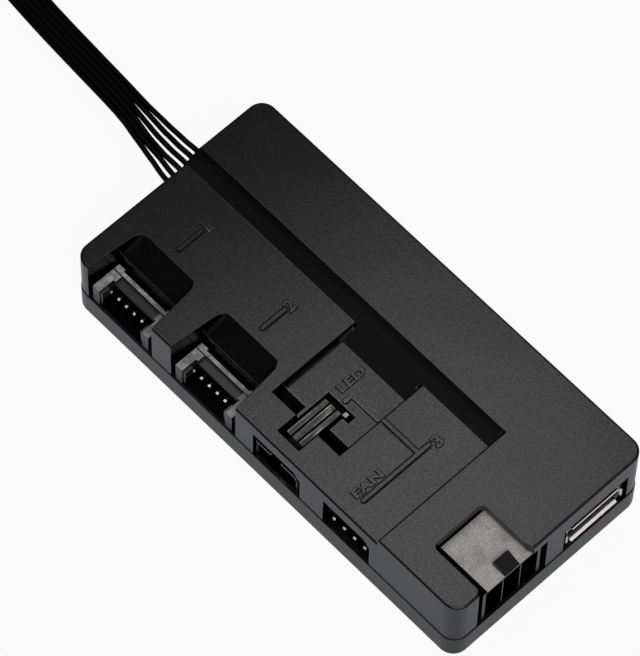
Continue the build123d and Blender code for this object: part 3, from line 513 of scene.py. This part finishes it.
@dataclass(frozen=True)
class HandledNylon(Finish):
    """Connector nylon: black and glossy, with a pale sheen painted on its top faces and mottled by scuff
    marks, and black shade painted in its depths.
    """

    name: str
    colour: Colour = (0.005, 0.005, 0.0052)
    # The two tones of the pale sheen painted on the top faces, mixed by scuff marks.
    pale_sheen: Colour = (0.3, 0.29, 0.28)
    worn_sheen: Colour = (0.2, 0.19, 0.18)
    # The black of the shade painted in the depths.
    shade_black: Colour = (0.0015, 0.0015, 0.0016)
    roughness: float = 0.28
    dull: float = 0.5
    marks: float = 1500.0
    reach: float = 0.6
    depth: float = 0.004 * MM
    edge: float = 0.1 * MM
    # Levels and places of the painted sheen, glint, shade and rim highlight on each connector.
    top_low: float = 1.0
    top_high: float = 2.0
    back: float = 1.0
    side: float = 1.0
    deep: float = 0.0
    fronts: float = 0.0
    shade_margin: float = -1.0
    rim: float = -1.0
    rim_low: float = 0.0
    patches: float = 420.0
    patch_stretch: tuple[float, float, float] = (1.0, 1.0, 1.0)
    patch_span: Span = (0.42, 0.6)
    sheen_range: Span = (0.55, 1.0)
    edge_reach: float = 0.22 * MM
    edge_share: float = 1.0
    specular: float = 0.5

    def shade(self, tree: Tree) -> bpy.types.Node:
        """Make the nylon's shader; see Finish.shade."""
        scuffs = Scuffs().place(tree, Scale=self.marks, Reach=self.reach)
        limits = {
            "Low": self.top_low,
            "High": self.top_high,
            "Back": self.back,
            "Side": self.side,
            "Depth": self.deep,
            "Front": self.fronts,
            "Margin": self.shade_margin,
            "Rim": self.rim,
            "Rim Low": self.rim_low,
        }
        levels = SheenAndShadeMasks().place(tree, **limits)
        edges = EdgeHighlights().place(tree, Radius=self.edge_reach)
        where = tree.add("ShaderNodeTexCoord").outputs["Object"]
        drawn = tree.add("ShaderNodeMapping", {"Vector": where, "Scale": self.patch_stretch})
        patchy = tree.noise(drawn.outputs[0], self.patches)
        patchy = tree.spread(patchy, *self.sheen_range, self.patch_span)
        # Painted highlights: pale lines along the top faces' edges and pale patches, as a sheen.
        lines = tree.math("MULTIPLY", edges.outputs["Edge"], self.edge_share)
        share = tree.math("MAXIMUM", lines, patchy)
        top_sheen = tree.math("MULTIPLY", levels.outputs["Top"], share)
        # A painted highlight along the rim's edges and a painted glint past Side, both kept out of the
        # painted shade.
        rim = tree.math("MULTIPLY", levels.outputs["Rim"], edges.outputs["Edge"])
        glints = tree.math("MAXIMUM", rim, levels.outputs["Tip"])
        top_sheen = tree.math("MAXIMUM", top_sheen, glints)
        # Painted shade: black and unreflecting in the depths, apart from the painted glints and rim
        # highlight.
        deep = tree.math("MULTIPLY", levels.outputs["Deep"], tree.math("SUBTRACT", 1.0, glints))
        marked = tree.math("MAXIMUM", scuffs.outputs["Mottle"], scuffs.outputs["Scratch"])
        # The painted sheen's tone, mottled between its two tones by scuff marks.
        pale = tree.tint(marked, self.worn_sheen, self.pale_sheen)
        skin = tree.tint(top_sheen, self.colour, pale)
        shown = tree.tint(deep, skin, self.shade_black)
        soft = tree.add("ShaderNodeBevel", {"Radius": self.edge}, samples=EDGE_SAMPLES)
        bump = tree.add(
            "ShaderNodeBump",
            {"Strength": 1.0, "Distance": self.depth, "Height": marked, "Normal": soft.outputs[0]},
        )
        return tree.add(
            "ShaderNodeBsdfPrincipled",
            {
                "Base Color": shown,
                "Metallic": deep,
                "Roughness": tree.spread(levels.outputs["Top"], self.roughness, self.dull),
                "Specular IOR Level": self.specular,
                "Normal": bump.outputs[0],
            },
        )


@dataclass(frozen=True)
class PlatedMetal(Finish):
    """Tin, nickel or steel with a faintly uneven plating."""

    name: str
    colour: Colour = (0.78, 0.76, 0.72)
    shade_colour: Colour = (0.62, 0.6, 0.56)
    roughness: float = 0.2
    swing: float = 0.08
    grain: float = 2500.0
    edge: float = 0.08 * MM
    edge_samples: int = 4

    def shade(self, tree: Tree) -> bpy.types.Node:
        """Make the metal's shader; see Finish.shade."""
        grain = SparkGrain().place(tree, Scale=self.grain)
        soft = tree.add("ShaderNodeBevel", {"Radius": self.edge}, samples=self.edge_samples)
        return tree.add(
            "ShaderNodeBsdfPrincipled",
            {
                "Base Color": tree.tint(grain.outputs["Cloud"], self.shade_colour, self.colour),
                "Metallic": 1.0,
                "Roughness": tree.spread(
                    grain.outputs["Grain"], self.roughness, self.roughness + self.swing, NOISE_SPAN
                ),
                "Normal": soft.outputs[0],
            },
        )


@dataclass(frozen=True)
class TippedPins(PlatedMetal):
    """Plated pins with bright tips, and painted shade on them behind the tips."""

    tip: float = 0.0
    behind_shade: Colour = (0.012, 0.012, 0.012)

    def shade(self, tree: Tree) -> bpy.types.Node:
        """Paint shade on the pins behind their tips; see Finish.shade."""
        shader = super().shade(tree)
        plated = shader.inputs["Base Color"].links[0].from_socket
        where = tree.add("ShaderNodeTexCoord").outputs["Object"]
        along = tree.add("ShaderNodeSeparateXYZ", {0: where}).outputs["Y"]
        # Behind the tip the pins are painted dark as shade.
        behind = tree.math("GREATER_THAN", along, self.tip)
        tree.link(tree.tint(behind, plated, self.behind_shade), shader.inputs["Base Color"])
        return shader


@dataclass(frozen=True)
class BoardLaminate(Finish):
    """Dark solder mask with faint copper tracks under it."""

    name: str
    mask: Colour = (0.004, 0.012, 0.008)
    track: Colour = (0.008, 0.03, 0.018)
    tracks: float = 420.0
    track_width: float = 0.06
    track_run: float = 2.4
    depth: float = 0.02 * MM
    blotches: float = 900.0
    roughness: Span = (0.25, 0.4)

    def shade(self, tree: Tree) -> bpy.types.Node:
        """Make the board's shader; see Finish.shade."""
        where = tree.add("ShaderNodeTexCoord").outputs["Object"]
        bricks = tree.add(
            "ShaderNodeTexBrick",
            {
                "Vector": where,
                "Scale": self.tracks,
                "Mortar Size": self.track_width,
                "Brick Width": self.track_run,
            },
        )
        lines = bricks.outputs["Fac"]
        bump = tree.add("ShaderNodeBump", {"Strength": 1.0, "Distance": self.depth, "Height": lines})
        return tree.add(
            "ShaderNodeBsdfPrincipled",
            {
                "Base Color": tree.tint(lines, self.mask, self.track),
                "Roughness": tree.spread(tree.noise(where, self.blotches), *self.roughness),
                "Normal": bump.outputs[0],
            },
        )


@dataclass(frozen=True)
class WireJacket(Finish):
    """Soft black insulation with faint drawn streaks."""

    name: str
    colour: Colour = (0.0012, 0.0012, 0.0013)
    light_share: float = 1.5
    roughness: float = 0.42
    swing: float = 0.06
    streaks: float = 1600.0
    octaves: float = 3.0
    depth: float = 0.012 * MM
    specular: float = 0.14

    def shade(self, tree: Tree) -> bpy.types.Node:
        """Make the jacket's shader; see Finish.shade."""
        where = tree.add("ShaderNodeTexCoord").outputs["Object"]
        streaks = tree.noise(where, self.streaks, self.octaves)
        light = scaled(self.colour, self.light_share)
        smooth = self.roughness - self.swing
        rough = self.roughness + self.swing
        bump = tree.add("ShaderNodeBump", {"Strength": 1.0, "Distance": self.depth, "Height": streaks})
        return tree.add(
            "ShaderNodeBsdfPrincipled",
            {
                "Base Color": tree.tint(streaks, self.colour, light),
                "Roughness": tree.spread(streaks, smooth, rough, NOISE_SPAN),
                "Specular IOR Level": self.specular,
                "Normal": bump.outputs[0],
            },
        )


# The cover and the letters take the lid's plastic, with painted edge highlights and painted shade on the
# ramp.
COVER = LidPlastic("cover_plastic_finish")
LETTER = LidPlastic("letter_finish", reach=0.22 * MM, highlight_low=15.0 * MM, highlight_high=19.0 * MM)
TRAY = MouldedPlastic("tray_plastic_finish", roughness=0.28)
# A thin black plate under each mark, wider than its strokes: painted shade around the letters.
LETTER_SHADE = MouldedPlastic("letter_shade_finish", colour=(0.002, 0.002, 0.0022), roughness=0.4, specular=0.16)
# Connector nylons, with painted sheen, glints and shade at their own levels.
PORT_NYLON = HandledNylon(
    "port_nylon_finish",
    colour=(0.02, 0.02, 0.0205),
    pale_sheen=(0.46, 0.45, 0.44),
    worn_sheen=(0.2, 0.195, 0.19),
    top_low=11.4 * MM,
    top_high=12.0 * MM,
    back=-17.45 * MM,
    deep=9.0 * MM,
    specular=0.4,
)
SOCKET_NYLON = HandledNylon(
    "socket_nylon_finish",
    pale_sheen=(0.56, 0.55, 0.54),
    worn_sheen=(0.3, 0.295, 0.29),
    top_low=15.3 * MM,
    top_high=16.0 * MM,
    side=6.2 * MM,
    deep=15.2 * MM,
    rim=-21.9 * MM,
    rim_low=10.6 * MM,
    patches=3200.0,
    patch_stretch=(1.0, 0.05, 1.0),
    patch_span=(0.5, 0.66),
    sheen_range=(0.12, 0.9),
    edge_share=0.35,
    specular=0.25,
)
PLATE_NYLON = HandledNylon(
    "plate_nylon_finish",
    pale_sheen=(0.58, 0.545, 0.52),
    worn_sheen=(0.27, 0.253, 0.242),
    marks=3400.0,
    patches=260.0,
    sheen_range=(0.75, 1.0),
    top_low=16.2 * MM,
    top_high=16.5 * MM,
    deep=16.1 * MM,
    fronts=1.0,
    shade_margin=-14.95 * MM,
)
LEAD_NYLON = HandledNylon("lead_nylon_finish", colour=(0.02, 0.02, 0.02), roughness=0.36)
TIN = PlatedMetal("tinned_pins_finish")
PORT_TIN = TippedPins("port_pins_finish", roughness=0.3, tip=-20.05 * MM)
FAN_TIN = TippedPins("fan_pins_finish", roughness=0.3, tip=-21.6 * MM)
USB_STEEL = PlatedMetal(
    "usb_steel_finish", colour=(0.9, 0.87, 0.8), shade_colour=(0.84, 0.8, 0.73), roughness=0.14, edge=0.0
)
USB_INSULATOR = MouldedPlastic("usb_insulator_finish", colour=(0.02, 0.02, 0.02), edge=0.08 * MM)
LAMINATE = BoardLaminate("board_laminate_finish")
CHIP_RESIN = MouldedPlastic("chip_resin_finish", roughness=0.55, edge=0.05 * MM)
CAN_METAL = PlatedMetal("can_metal_finish", colour=(0.7, 0.7, 0.7), roughness=0.3)
SCREW_STEEL = PlatedMetal(
    "screw_steel_finish", colour=(0.12, 0.12, 0.12), shade_colour=(0.07, 0.07, 0.07), roughness=0.3
)
JACKET = WireJacket("wire_jacket_finish")
TIE_PLASTIC = MouldedPlastic("tie_plastic_finish", roughness=0.28, edge=0.1 * MM)


def mesh_piece(name: str, mesh: bpy.types.Mesh, finish: Finish) -> bpy.types.Object:
    """Make a piece of the hub from a mesh that is already in place.

    Args:
        name: the piece's name.
        mesh: its mesh, in the frame's axes.
        finish: what it is dressed in.

    Returns:
        The piece, riding on the hub.
    """
    mesh.name = name
    mesh.materials.clear()
    mesh.materials.append(finish.material())
    piece = bpy.data.objects.new(name, mesh)
    bpy.context.scene.collection.objects.link(piece)
    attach(piece, BODY)
    log.info("built %s with %d faces", name, len(mesh.polygons))
    return piece


def baked(curve: bpy.types.Curve) -> bpy.types.Mesh:
    """Turn a curve or text into a mesh.

    Args:
        curve: the curve's data, which is used up.

    Returns:
        Its mesh.
    """
    holder = bpy.data.objects.new(curve.name, curve)
    bpy.context.scene.collection.objects.link(holder)
    graph = bpy.context.evaluated_depsgraph_get()
    mesh = bpy.data.meshes.new_from_object(holder.evaluated_get(graph))
    bpy.data.objects.remove(holder)
    return mesh


@dataclass
class CaseShells:
    """The moulded cover and tray with their screws."""

    cover: str = "top_cover"
    tray: str = "base_tray"
    screws: str = "case_screws"

    def dress(self) -> None:
        """Dress the two shells and the screws."""
        COVER.dress(self.cover)
        TRAY.dress(self.tray)
        SCREW_STEEL.dress(self.screws)


@dataclass
class Connectors:
    """The ports along the front and the two sockets at the near end."""

    ports: tuple[str, ...] = ("port_1_shell", "port_2_shell")
    sockets: tuple[str, ...] = ("light_socket", "fan_header")
    plate: str = "power_inlet"
    port_pins: tuple[str, ...] = ("port_1_pins", "port_2_pins")
    pins: tuple[str, ...] = ("light_pins", "power_pins", "usb_contacts")

    def dress(self) -> None:
        """Dress the nylon, the pins and the steel shell."""
        PORT_NYLON.dress(*self.ports)
        SOCKET_NYLON.dress(*self.sockets)
        PLATE_NYLON.dress(self.plate)
        PORT_TIN.dress(*self.port_pins)
        FAN_TIN.dress("fan_pins")
        TIN.dress(*self.pins)
        USB_STEEL.dress("usb_shell")
        USB_INSULATOR.dress("usb_tongue")


@dataclass
class Board:
    """The circuit board and the parts on it."""

    resin: tuple[str, ...] = ("controller_chip", "regulators", "inductor")
    cans: tuple[str, ...] = ("capacitors", "crystal")

    def dress(self) -> None:
        """Dress the board and its parts."""
        LAMINATE.dress("circuit_board")
        CHIP_RESIN.dress(*self.resin)
        CAN_METAL.dress(*self.cans)
        TIN.dress("chip_leads", "lead_pins")
        LEAD_NYLON.dress("lead_socket", "lead_plug")


@dataclass
class Mark:
    """One raised number or word on the lid.

    Text reads along +Y, with its top towards -X. The weight, stroke edge and thickness are in the font's
    own units.
    """

    text: str
    centre: tuple[float, float]
    level: float
    height: float
    length: float
    weight: float = 0.022
    rise: float = 0.25 * MM
    root: float = 0.1 * MM
    # How far the black border of painted shade reaches past the strokes, and its height.
    shade_border: float = 0.24 * MM
    shade_border_rise: float = 0.012 * MM
    stroke_edge: float = 0.012
    thickness: float = 0.1

    def strokes(self, name: str, weight: float, edge: float) -> bpy.types.Mesh:
        """Make the mark's letters as a plate.

        Args:
            name: the curve's name.
            weight: how much bolder than the plain font.
            edge: the rounding of the plate's edge.

        Returns:
            The plate in the font's own units.
        """
        curve = bpy.data.curves.new(name, "FONT")
        curve.body = self.text
        curve.extrude = self.thickness
        curve.offset = weight
        curve.bevel_depth = edge
        curve.bevel_resolution = 1
        return baked(curve)

    def build(self, name: str) -> None:
        """Raise the mark on its field, over a thin black plate that borders each stroke as painted shade.

        Args:
            name: the piece's name.
        """
        letters = self.strokes(name, self.weight, self.stroke_edge)
        low = Vector([min(v.co[axis] for v in letters.vertices) for axis in range(3)])
        high = Vector([max(v.co[axis] for v in letters.vertices) for axis in range(3)])
        size = high - low
        across = self.length / size.x
        scale = Matrix.Diagonal((across, self.height / size.y, 1, 1))
        centred = Matrix.Translation(-Vector(((low.x + high.x) / 2, (low.y + high.y) / 2, low.z)))
        turned = Matrix.Rotation(math.pi / 2, 4, "Z")
        # A bolder copy of the letters, laid in black just under them as painted shade round each stroke.
        border = self.strokes(name, self.weight + self.shade_border / across, 0.0)
        for label, mesh, rise, finish in (
            (name, letters, self.rise, LETTER),
            (f"{name}_groove", border, self.shade_border_rise, LETTER_SHADE),
        ):
            floor = min(v.co.z for v in mesh.vertices)
            tall = max(v.co.z for v in mesh.vertices) - floor
            lift = Matrix.Translation((*self.centre, self.level - self.root))
            thick = Matrix.Diagonal((1, 1, (rise + self.root) / tall, 1))
            drop = Matrix.Translation((0, 0, low.z - floor))
            mesh.transform(lift @ turned @ thick @ scale @ centred @ drop)
            mesh_piece(label, mesh, finish)


@dataclass
class LidMarks:
    """The port numbers and port words.

    Each number has its centre and its length in millimetres, and its stroke's weight.
    """

    low_level: float = 17.0 * MM
    pocket_level: float = 15.2 * MM
    number_height: float = 2.4 * MM
    word_height: float = 1.7 * MM
    numbers: tuple[tuple[str, float, float, float, float], ...] = (
        ("1", -36.15, -1.8, 1.1, -0.01),
        ("2", -14.8, -2.05, 1.6, 0.01),
        ("3", 21.6, -1.6, 1.7, 0.015),
    )
    fan_centre: Span = (19.4 * MM, -16.0 * MM)
    fan_length: float = 6.5 * MM
    light_centre: Span = (2.35 * MM, -3.5 * MM)
    light_length: float = 5.9 * MM

    def build(self) -> None:
        """Raise each number and word beside its port."""
        for text, x, y, length, weight in self.numbers:
            spot = (x * MM, y * MM)
            number = Mark(text, spot, self.low_level, self.number_height, length * MM, weight)
            number.build(f"number_{text}")
        fan = Mark("FAN", self.fan_centre, self.low_level, self.word_height, self.fan_length)
        fan.build("fan_word")
        light = Mark("LED", self.light_centre, self.pocket_level, self.word_height, self.light_length)
        light.build("light_word")


@dataclass
class FlatLead:
    """The six-wire lead: it fans out of the case, lies flat, and is put away as a tied hank."""

    wire: float = 1.05 * MM
    wires: int = 6
    pitch_at_case: float = 1.61 * MM
    exit: Point = (-48.0 * MM, 6.2 * MM, 8.6 * MM)
    inside: float = 4.2 * MM
    wide_run: float = 3.0 * MM
    gap_close: tuple[float, ...] = (17.0, 20.2, 16.8, 6.8, 11.2)
    roll_start: float = -104.0 * MM
    hank_centre: Span = (-157.0 * MM, -8.675 * MM)
    hank_length: float = 100.0 * MM
    hank_width: float = 45.0 * MM
    hank_wall: float = 3.6 * MM
    hank_height: float = 3.85 * MM
    arc_steps: int = 6
    side_steps: int = 4
    tail_step: float = 1.6
    flat_run: float = 62.0 * MM
    flat_end: float = 8.0 * MM
    route_steps: int = 8
    ring_steps: int = 4
    length: float = 0.62
    route: tuple[Point, ...] = (
        (-58.0, 7.0, 8.5),
        (-68.0, 8.3, 7.8),
        (-80.0, 9.3, 6.7),
        (-92.0, 10.4, 5.5),
        (-104.0, 11.8, 4.6),
        (-115.0, 13.0, 4.1),
        (-126.0, 13.3, 3.9),
    )
    tail: tuple[Point, ...] = (
        (-140.0, 8.6, 3.85),
        (-154.0, 7.0, 3.6),
        (-166.0, 3.4, 3.2),
        (-176.0, -2.8, 2.9),
    )
    line: list[Vector] = field(default_factory=list)

    @property
    def width(self) -> float:
        """Width of the flat lead."""
        return self.wires * self.wire

    def hank_points(self) -> list[Vector]:
        """Work out the two turns of the hank.

        The first turn runs along the outside; its last end steps in to the second, and the second's last
        end steps in again to the tail.

        Returns:
            Control points, from the lead's side of the oval round to the tail.
        """
        middle = Vector((*self.hank_centre, self.hank_height))
        outer = (self.hank_width - self.wire) / 2
        inner = self.hank_width / 2 - self.hank_wall + self.wire / 2
        tail = inner - self.tail_step * self.wire
        half = (self.hank_length - self.hank_width) / 2
        step = math.pi / self.arc_steps
        swell = 1.0 / math.cos(step / 2)
        points = []
        for start, end in ((outer, inner), (inner, tail)):
            for n in range(1, self.side_steps + 1):
                share = n / (self.side_steps + 1)
                points.append(middle + Vector((half - 2 * half * share, start, 0)))
            for n in range(self.arc_steps + 1):
                angle = math.pi / 2 + n * step
                reach = start * swell
                points.append(middle + Vector((reach * math.cos(angle) - half, reach * math.sin(angle), 0)))
            for n in range(1, self.side_steps + 1):
                share = n / (self.side_steps + 1)
                points.append(middle + Vector((2 * half * share - half, -start, 0)))
            for n in range(self.arc_steps + 1):
                angle = -math.pi / 2 + n * step
                reach = (start + (end - start) * n / self.arc_steps) * swell
                points.append(middle + Vector((reach * math.cos(angle) + half, reach * math.sin(angle), 0)))
        return points

    def centreline(self) -> list[Vector]:
        """Draw the route as one smooth spline.

        Returns:
            Points along the spline, from inside the case to the far connector.
        """
        start = Vector(self.exit) + Vector((self.inside, 0, 0))
        points = [start, Vector(self.exit)]
        points += [Vector(p) * MM for p in self.route]
        points += self.hank_points()[1:]
        points += [Vector(p) * MM for p in self.tail]
        curve = bpy.data.curves.new("lead_route", "CURVE")
        curve.dimensions = "3D"
        curve.resolution_u = self.route_steps
        spline = curve.splines.new("NURBS")
        spline.points.add(len(points) - 1)
        for spot, point in zip(spline.points, points):
            spot.co = (*point, 1.0)
        spline.order_u = 3
        spline.use_endpoint_u = True
        mesh = baked(curve)
        line = [v.co.copy() for v in mesh.vertices]
        bpy.data.meshes.remove(mesh)
        return line

    def offsets(self, run: float) -> list[float]:
        """Sideways places of the six wires.

        Args:
            run: distance along the lead from the case's wall.

        Returns:
            One offset for each wire, evenly about the middle.
        """
        extra = self.pitch_at_case - self.wire
        places = [0.0]
        for close in self.gap_close:
            share = progress(run, self.wide_run, close * MM)
            places.append(places[-1] + self.wire + extra * (1.0 - share * share))
        middle = (places[0] + places[-1]) / 2
        return [place - middle for place in places]

    def roll(self, run: float, roll_run: float, hank_run: float, tail_run: float, end_run: float) -> float:
        """How far the flat lead is turned on edge.

        Args:
            run: distance along the lead.
            roll_run: where it starts to turn on edge.
            hank_run: where it is on edge.
            tail_run: where it starts to lie flat again.
            end_run: its end.

        Returns:
            The turn in radians, 0 flat and a quarter turn on edge.
        """
        up = progress(run, roll_run, hank_run)
        down = progress(run, tail_run, end_run)
        ease_up = up * up * (3.0 - 2.0 * up)
        ease_down = down * down * (3.0 - 2.0 * down)
        return math.pi / 2 * (ease_up - ease_down)

    def build(self) -> bpy.types.Object:
        """Lay six wires side by side along the route.

        Returns:
            The lead's piece.
        """
        line = self.centreline()
        runs = [0.0]
        for a, b in zip(line, line[1:]):
            runs.append(runs[-1] + (b - a).length)
        roll_run = next(r for r, p in zip(runs, line) if p.x < self.roll_start)
        hank_run = next(r for r, p in zip(runs, line) if p.x < self.route[-1][0] * MM)
        tail_run = runs[-1] - self.flat_run
        curve = bpy.data.curves.new("six_wire_lead", "CURVE")
        curve.dimensions = "3D"
        curve.bevel_depth = self.wire / 2
        curve.bevel_resolution = self.ring_steps
        curve.use_fill_caps = True
        splines = [curve.splines.new("POLY") for _ in range(self.wires)]
        for spline in splines:
            spline.points.add(len(line) - 1)
        for n, (point, run) in enumerate(zip(line, runs)):
            before = line[max(n - 1, 0)]
            after = line[min(n + 1, len(line) - 1)]
            along = (after - before).normalized()
            side = Vector((0, 0, 1)).cross(along).normalized()
            rise = along.cross(side)
            turn = self.roll(run, roll_run, hank_run, tail_run, runs[-1] - self.flat_end)
            across = side * math.cos(turn) + rise * math.sin(turn)
            for spline, offset in zip(splines, self.offsets(run - self.inside)):
                spline.points[n].co = (*(point + across * offset), 1.0)
        self.line = line
        piece = mesh_piece("six_wire_lead", baked(curve), JACKET)
        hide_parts("lead_wires", "flat_lead", "lead_hank", "lead_tail")
        log.info("lead length %.4f m", runs[-1])
        return piece

    def dress(self, piece: bpy.types.Object) -> None:
        """Dress the ties and the far connector."""
        TIE_PLASTIC.dress("hank_ties")
        LEAD_NYLON.dress("end_connector")


@dataclass(frozen=True)
class Softbox:
    """One soft lamp that points at the hub."""

    name: str
    place: Point
    size: tuple[float, float]
    radiance: float
    target: Point = (0.0, 0.0, 0.01)

    def build(self) -> bpy.types.Object:
        """Hang the lamp.

        Returns:
            The lamp.
        """
        lamp = bpy.data.lights.new(self.name, "AREA")
        lamp.shape = "RECTANGLE"
        lamp.size, lamp.size_y = self.size
        lamp.energy = self.radiance * math.pi * self.size[0] * self.size[1]
        holder = bpy.data.objects.new(self.name, lamp)
        holder.location = self.place
        holder.rotation_euler = (Vector(self.target) - Vector(self.place)).to_track_quat("-Z", "Y").to_euler()
        bpy.context.scene.collection.objects.link(holder)
        return holder


@dataclass(frozen=True)
class PaleFloor(Finish):
    """A white floor: evenly white to the eye and in reflections, and still shadowed by the hub."""

    name: str = "pale_floor_finish"
    colour: Colour = (0.6, 0.6, 0.6)
    cool: Colour = (0.91, 0.93, 1.0)
    fleck_scale: float = 60.0
    fleck_shade: float = 0.98
    glow: float = 0.94
    sheen_glow: float = 0.275
    strength: float = 1.0

    def shade(self, tree: Tree) -> bpy.types.Node:
        """Make the floor's shader; see Finish.shade."""
        where = tree.add("ShaderNodeTexCoord").outputs["Object"]
        fleck = tree.noise(where, self.fleck_scale)
        darker = scaled(self.colour, self.fleck_shade)
        paint = tree.add("ShaderNodeBsdfDiffuse", {"Color": tree.tint(fleck, self.colour, darker)})
        rays = tree.add("ShaderNodeLightPath")
        seen = tree.math("MAXIMUM", rays.outputs[Ray.CAMERA.value], rays.outputs[Ray.TRANSMISSION.value])
        hue = tree.tint(seen, self.cool, WHITE)
        white = tree.add("ShaderNodeEmission", {"Color": hue, "Strength": self.strength})
        sheen = tree.math("MULTIPLY", rays.outputs[Ray.GLOSSY.value], self.sheen_glow)
        share = tree.math("MAXIMUM", tree.math("MULTIPLY", seen, self.glow), sheen)
        return tree.add("ShaderNodeMixShader", {0: share, 1: paint.outputs[0], 2: white.outputs[0]})


@dataclass
class Studio:
    """The pale floor, soft lamps and the camera."""

    floor_side: float = 8.0
    floor_drop: float = 0.05 * MM
    world_dim: float = 0.02
    azimuth: float = 44.995
    elevation: float = 62.285
    roll: float = 1.710
    target: Point = (-10.968 * MM, 1.773 * MM, 9.0 * MM)
    distance: float = 877.804 * MM
    lens: float = 274.94
    sensor: float = 36.0
    clip_end: float = 20.0
    lamps: tuple[Softbox, ...] = (
        Softbox("overhead_softbox", (-0.0782, 0.017, 0.339), (0.29, 0.135), 2.37),
        Softbox("camera_fill", (1.0, -0.55, 1.55), (1.4, 1.4), 3.2),
        Softbox("end_card", (0.608, 0.281, 0.523), (0.36, 0.22), 1.0),
    )

    def build_floor(self) -> bpy.types.Object:
        """Lay the floor under the hub.

        Returns:
            The floor.
        """
        half = self.floor_side / 2
        mesh = bpy.data.meshes.new("pale_floor")
        corners = [(-half, -half), (half, -half), (half, half), (-half, half)]
        mesh.from_pydata([(x, y, -self.floor_drop) for x, y in corners], [], [(0, 1, 2, 3)])
        mesh.materials.append(PaleFloor().material())
        floor = bpy.data.objects.new("pale_floor", mesh)
        bpy.context.scene.collection.objects.link(floor)
        return floor

    def build_world(self) -> None:
        """Light the room dimly, white only to the camera."""
        world = bpy.data.worlds.new("studio_room")
        world.use_nodes = True
        world.node_tree.nodes.clear()
        tree = Tree(world.node_tree)
        rays = tree.add("ShaderNodeLightPath")
        level = tree.spread(rays.outputs[Ray.CAMERA.value], self.world_dim, 1.0)
        room = tree.add("ShaderNodeBackground", {"Color": (*WHITE, 1.0), "Strength": level})
        tree.add("ShaderNodeOutputWorld", {"Surface": room.outputs[0]})
        bpy.context.scene.world = world

    def build_camera(self) -> bpy.types.Object:
        """Stand the camera at the fitted view.

        Returns:
            The camera.
        """
        az = math.radians(self.azimuth)
        el = math.radians(self.elevation)
        tilt = math.radians(self.roll)
        back = Vector((math.sin(az) * math.cos(el), -math.cos(az) * math.cos(el), math.sin(el)))
        level = Vector((math.cos(az), math.sin(az), 0.0))
        upright = back.cross(level)
        right = level * math.cos(tilt) + upright * math.sin(tilt)
        up = upright * math.cos(tilt) - level * math.sin(tilt)
        lens = bpy.data.cameras.new("camera")
        lens.lens = self.lens
        lens.sensor_fit = "VERTICAL"
        lens.sensor_height = self.sensor
        lens.clip_end = self.clip_end
        camera = bpy.data.objects.new("camera", lens)
        place = Vector(self.target) + back * self.distance
        turn = Matrix((right, up, back)).transposed().to_4x4()
        camera.matrix_world = Matrix.Translation(place) @ turn
        bpy.context.scene.collection.objects.link(camera)
        bpy.context.scene.camera = camera
        return camera

    def build(self) -> None:
        """Set up the floor, the room, the lamps and the camera."""
        self.build_floor()
        self.build_world()
        self.build_camera()
        for lamp in self.lamps:
            lamp.build()
        bpy.context.scene.view_settings.view_transform = "Standard"


def main() -> None:
    """Dress the hub, lay its lead and set up the studio."""
    logging.basicConfig(level=logging.INFO, format="%(name)s: %(message)s")
    Studio().build()
    lead = FlatLead()
    lead.dress(lead.build())
    CaseShells().dress()
    Connectors().dress()
    Board().dress()
    LidMarks().build()


if __name__ == "__main__":
    main()
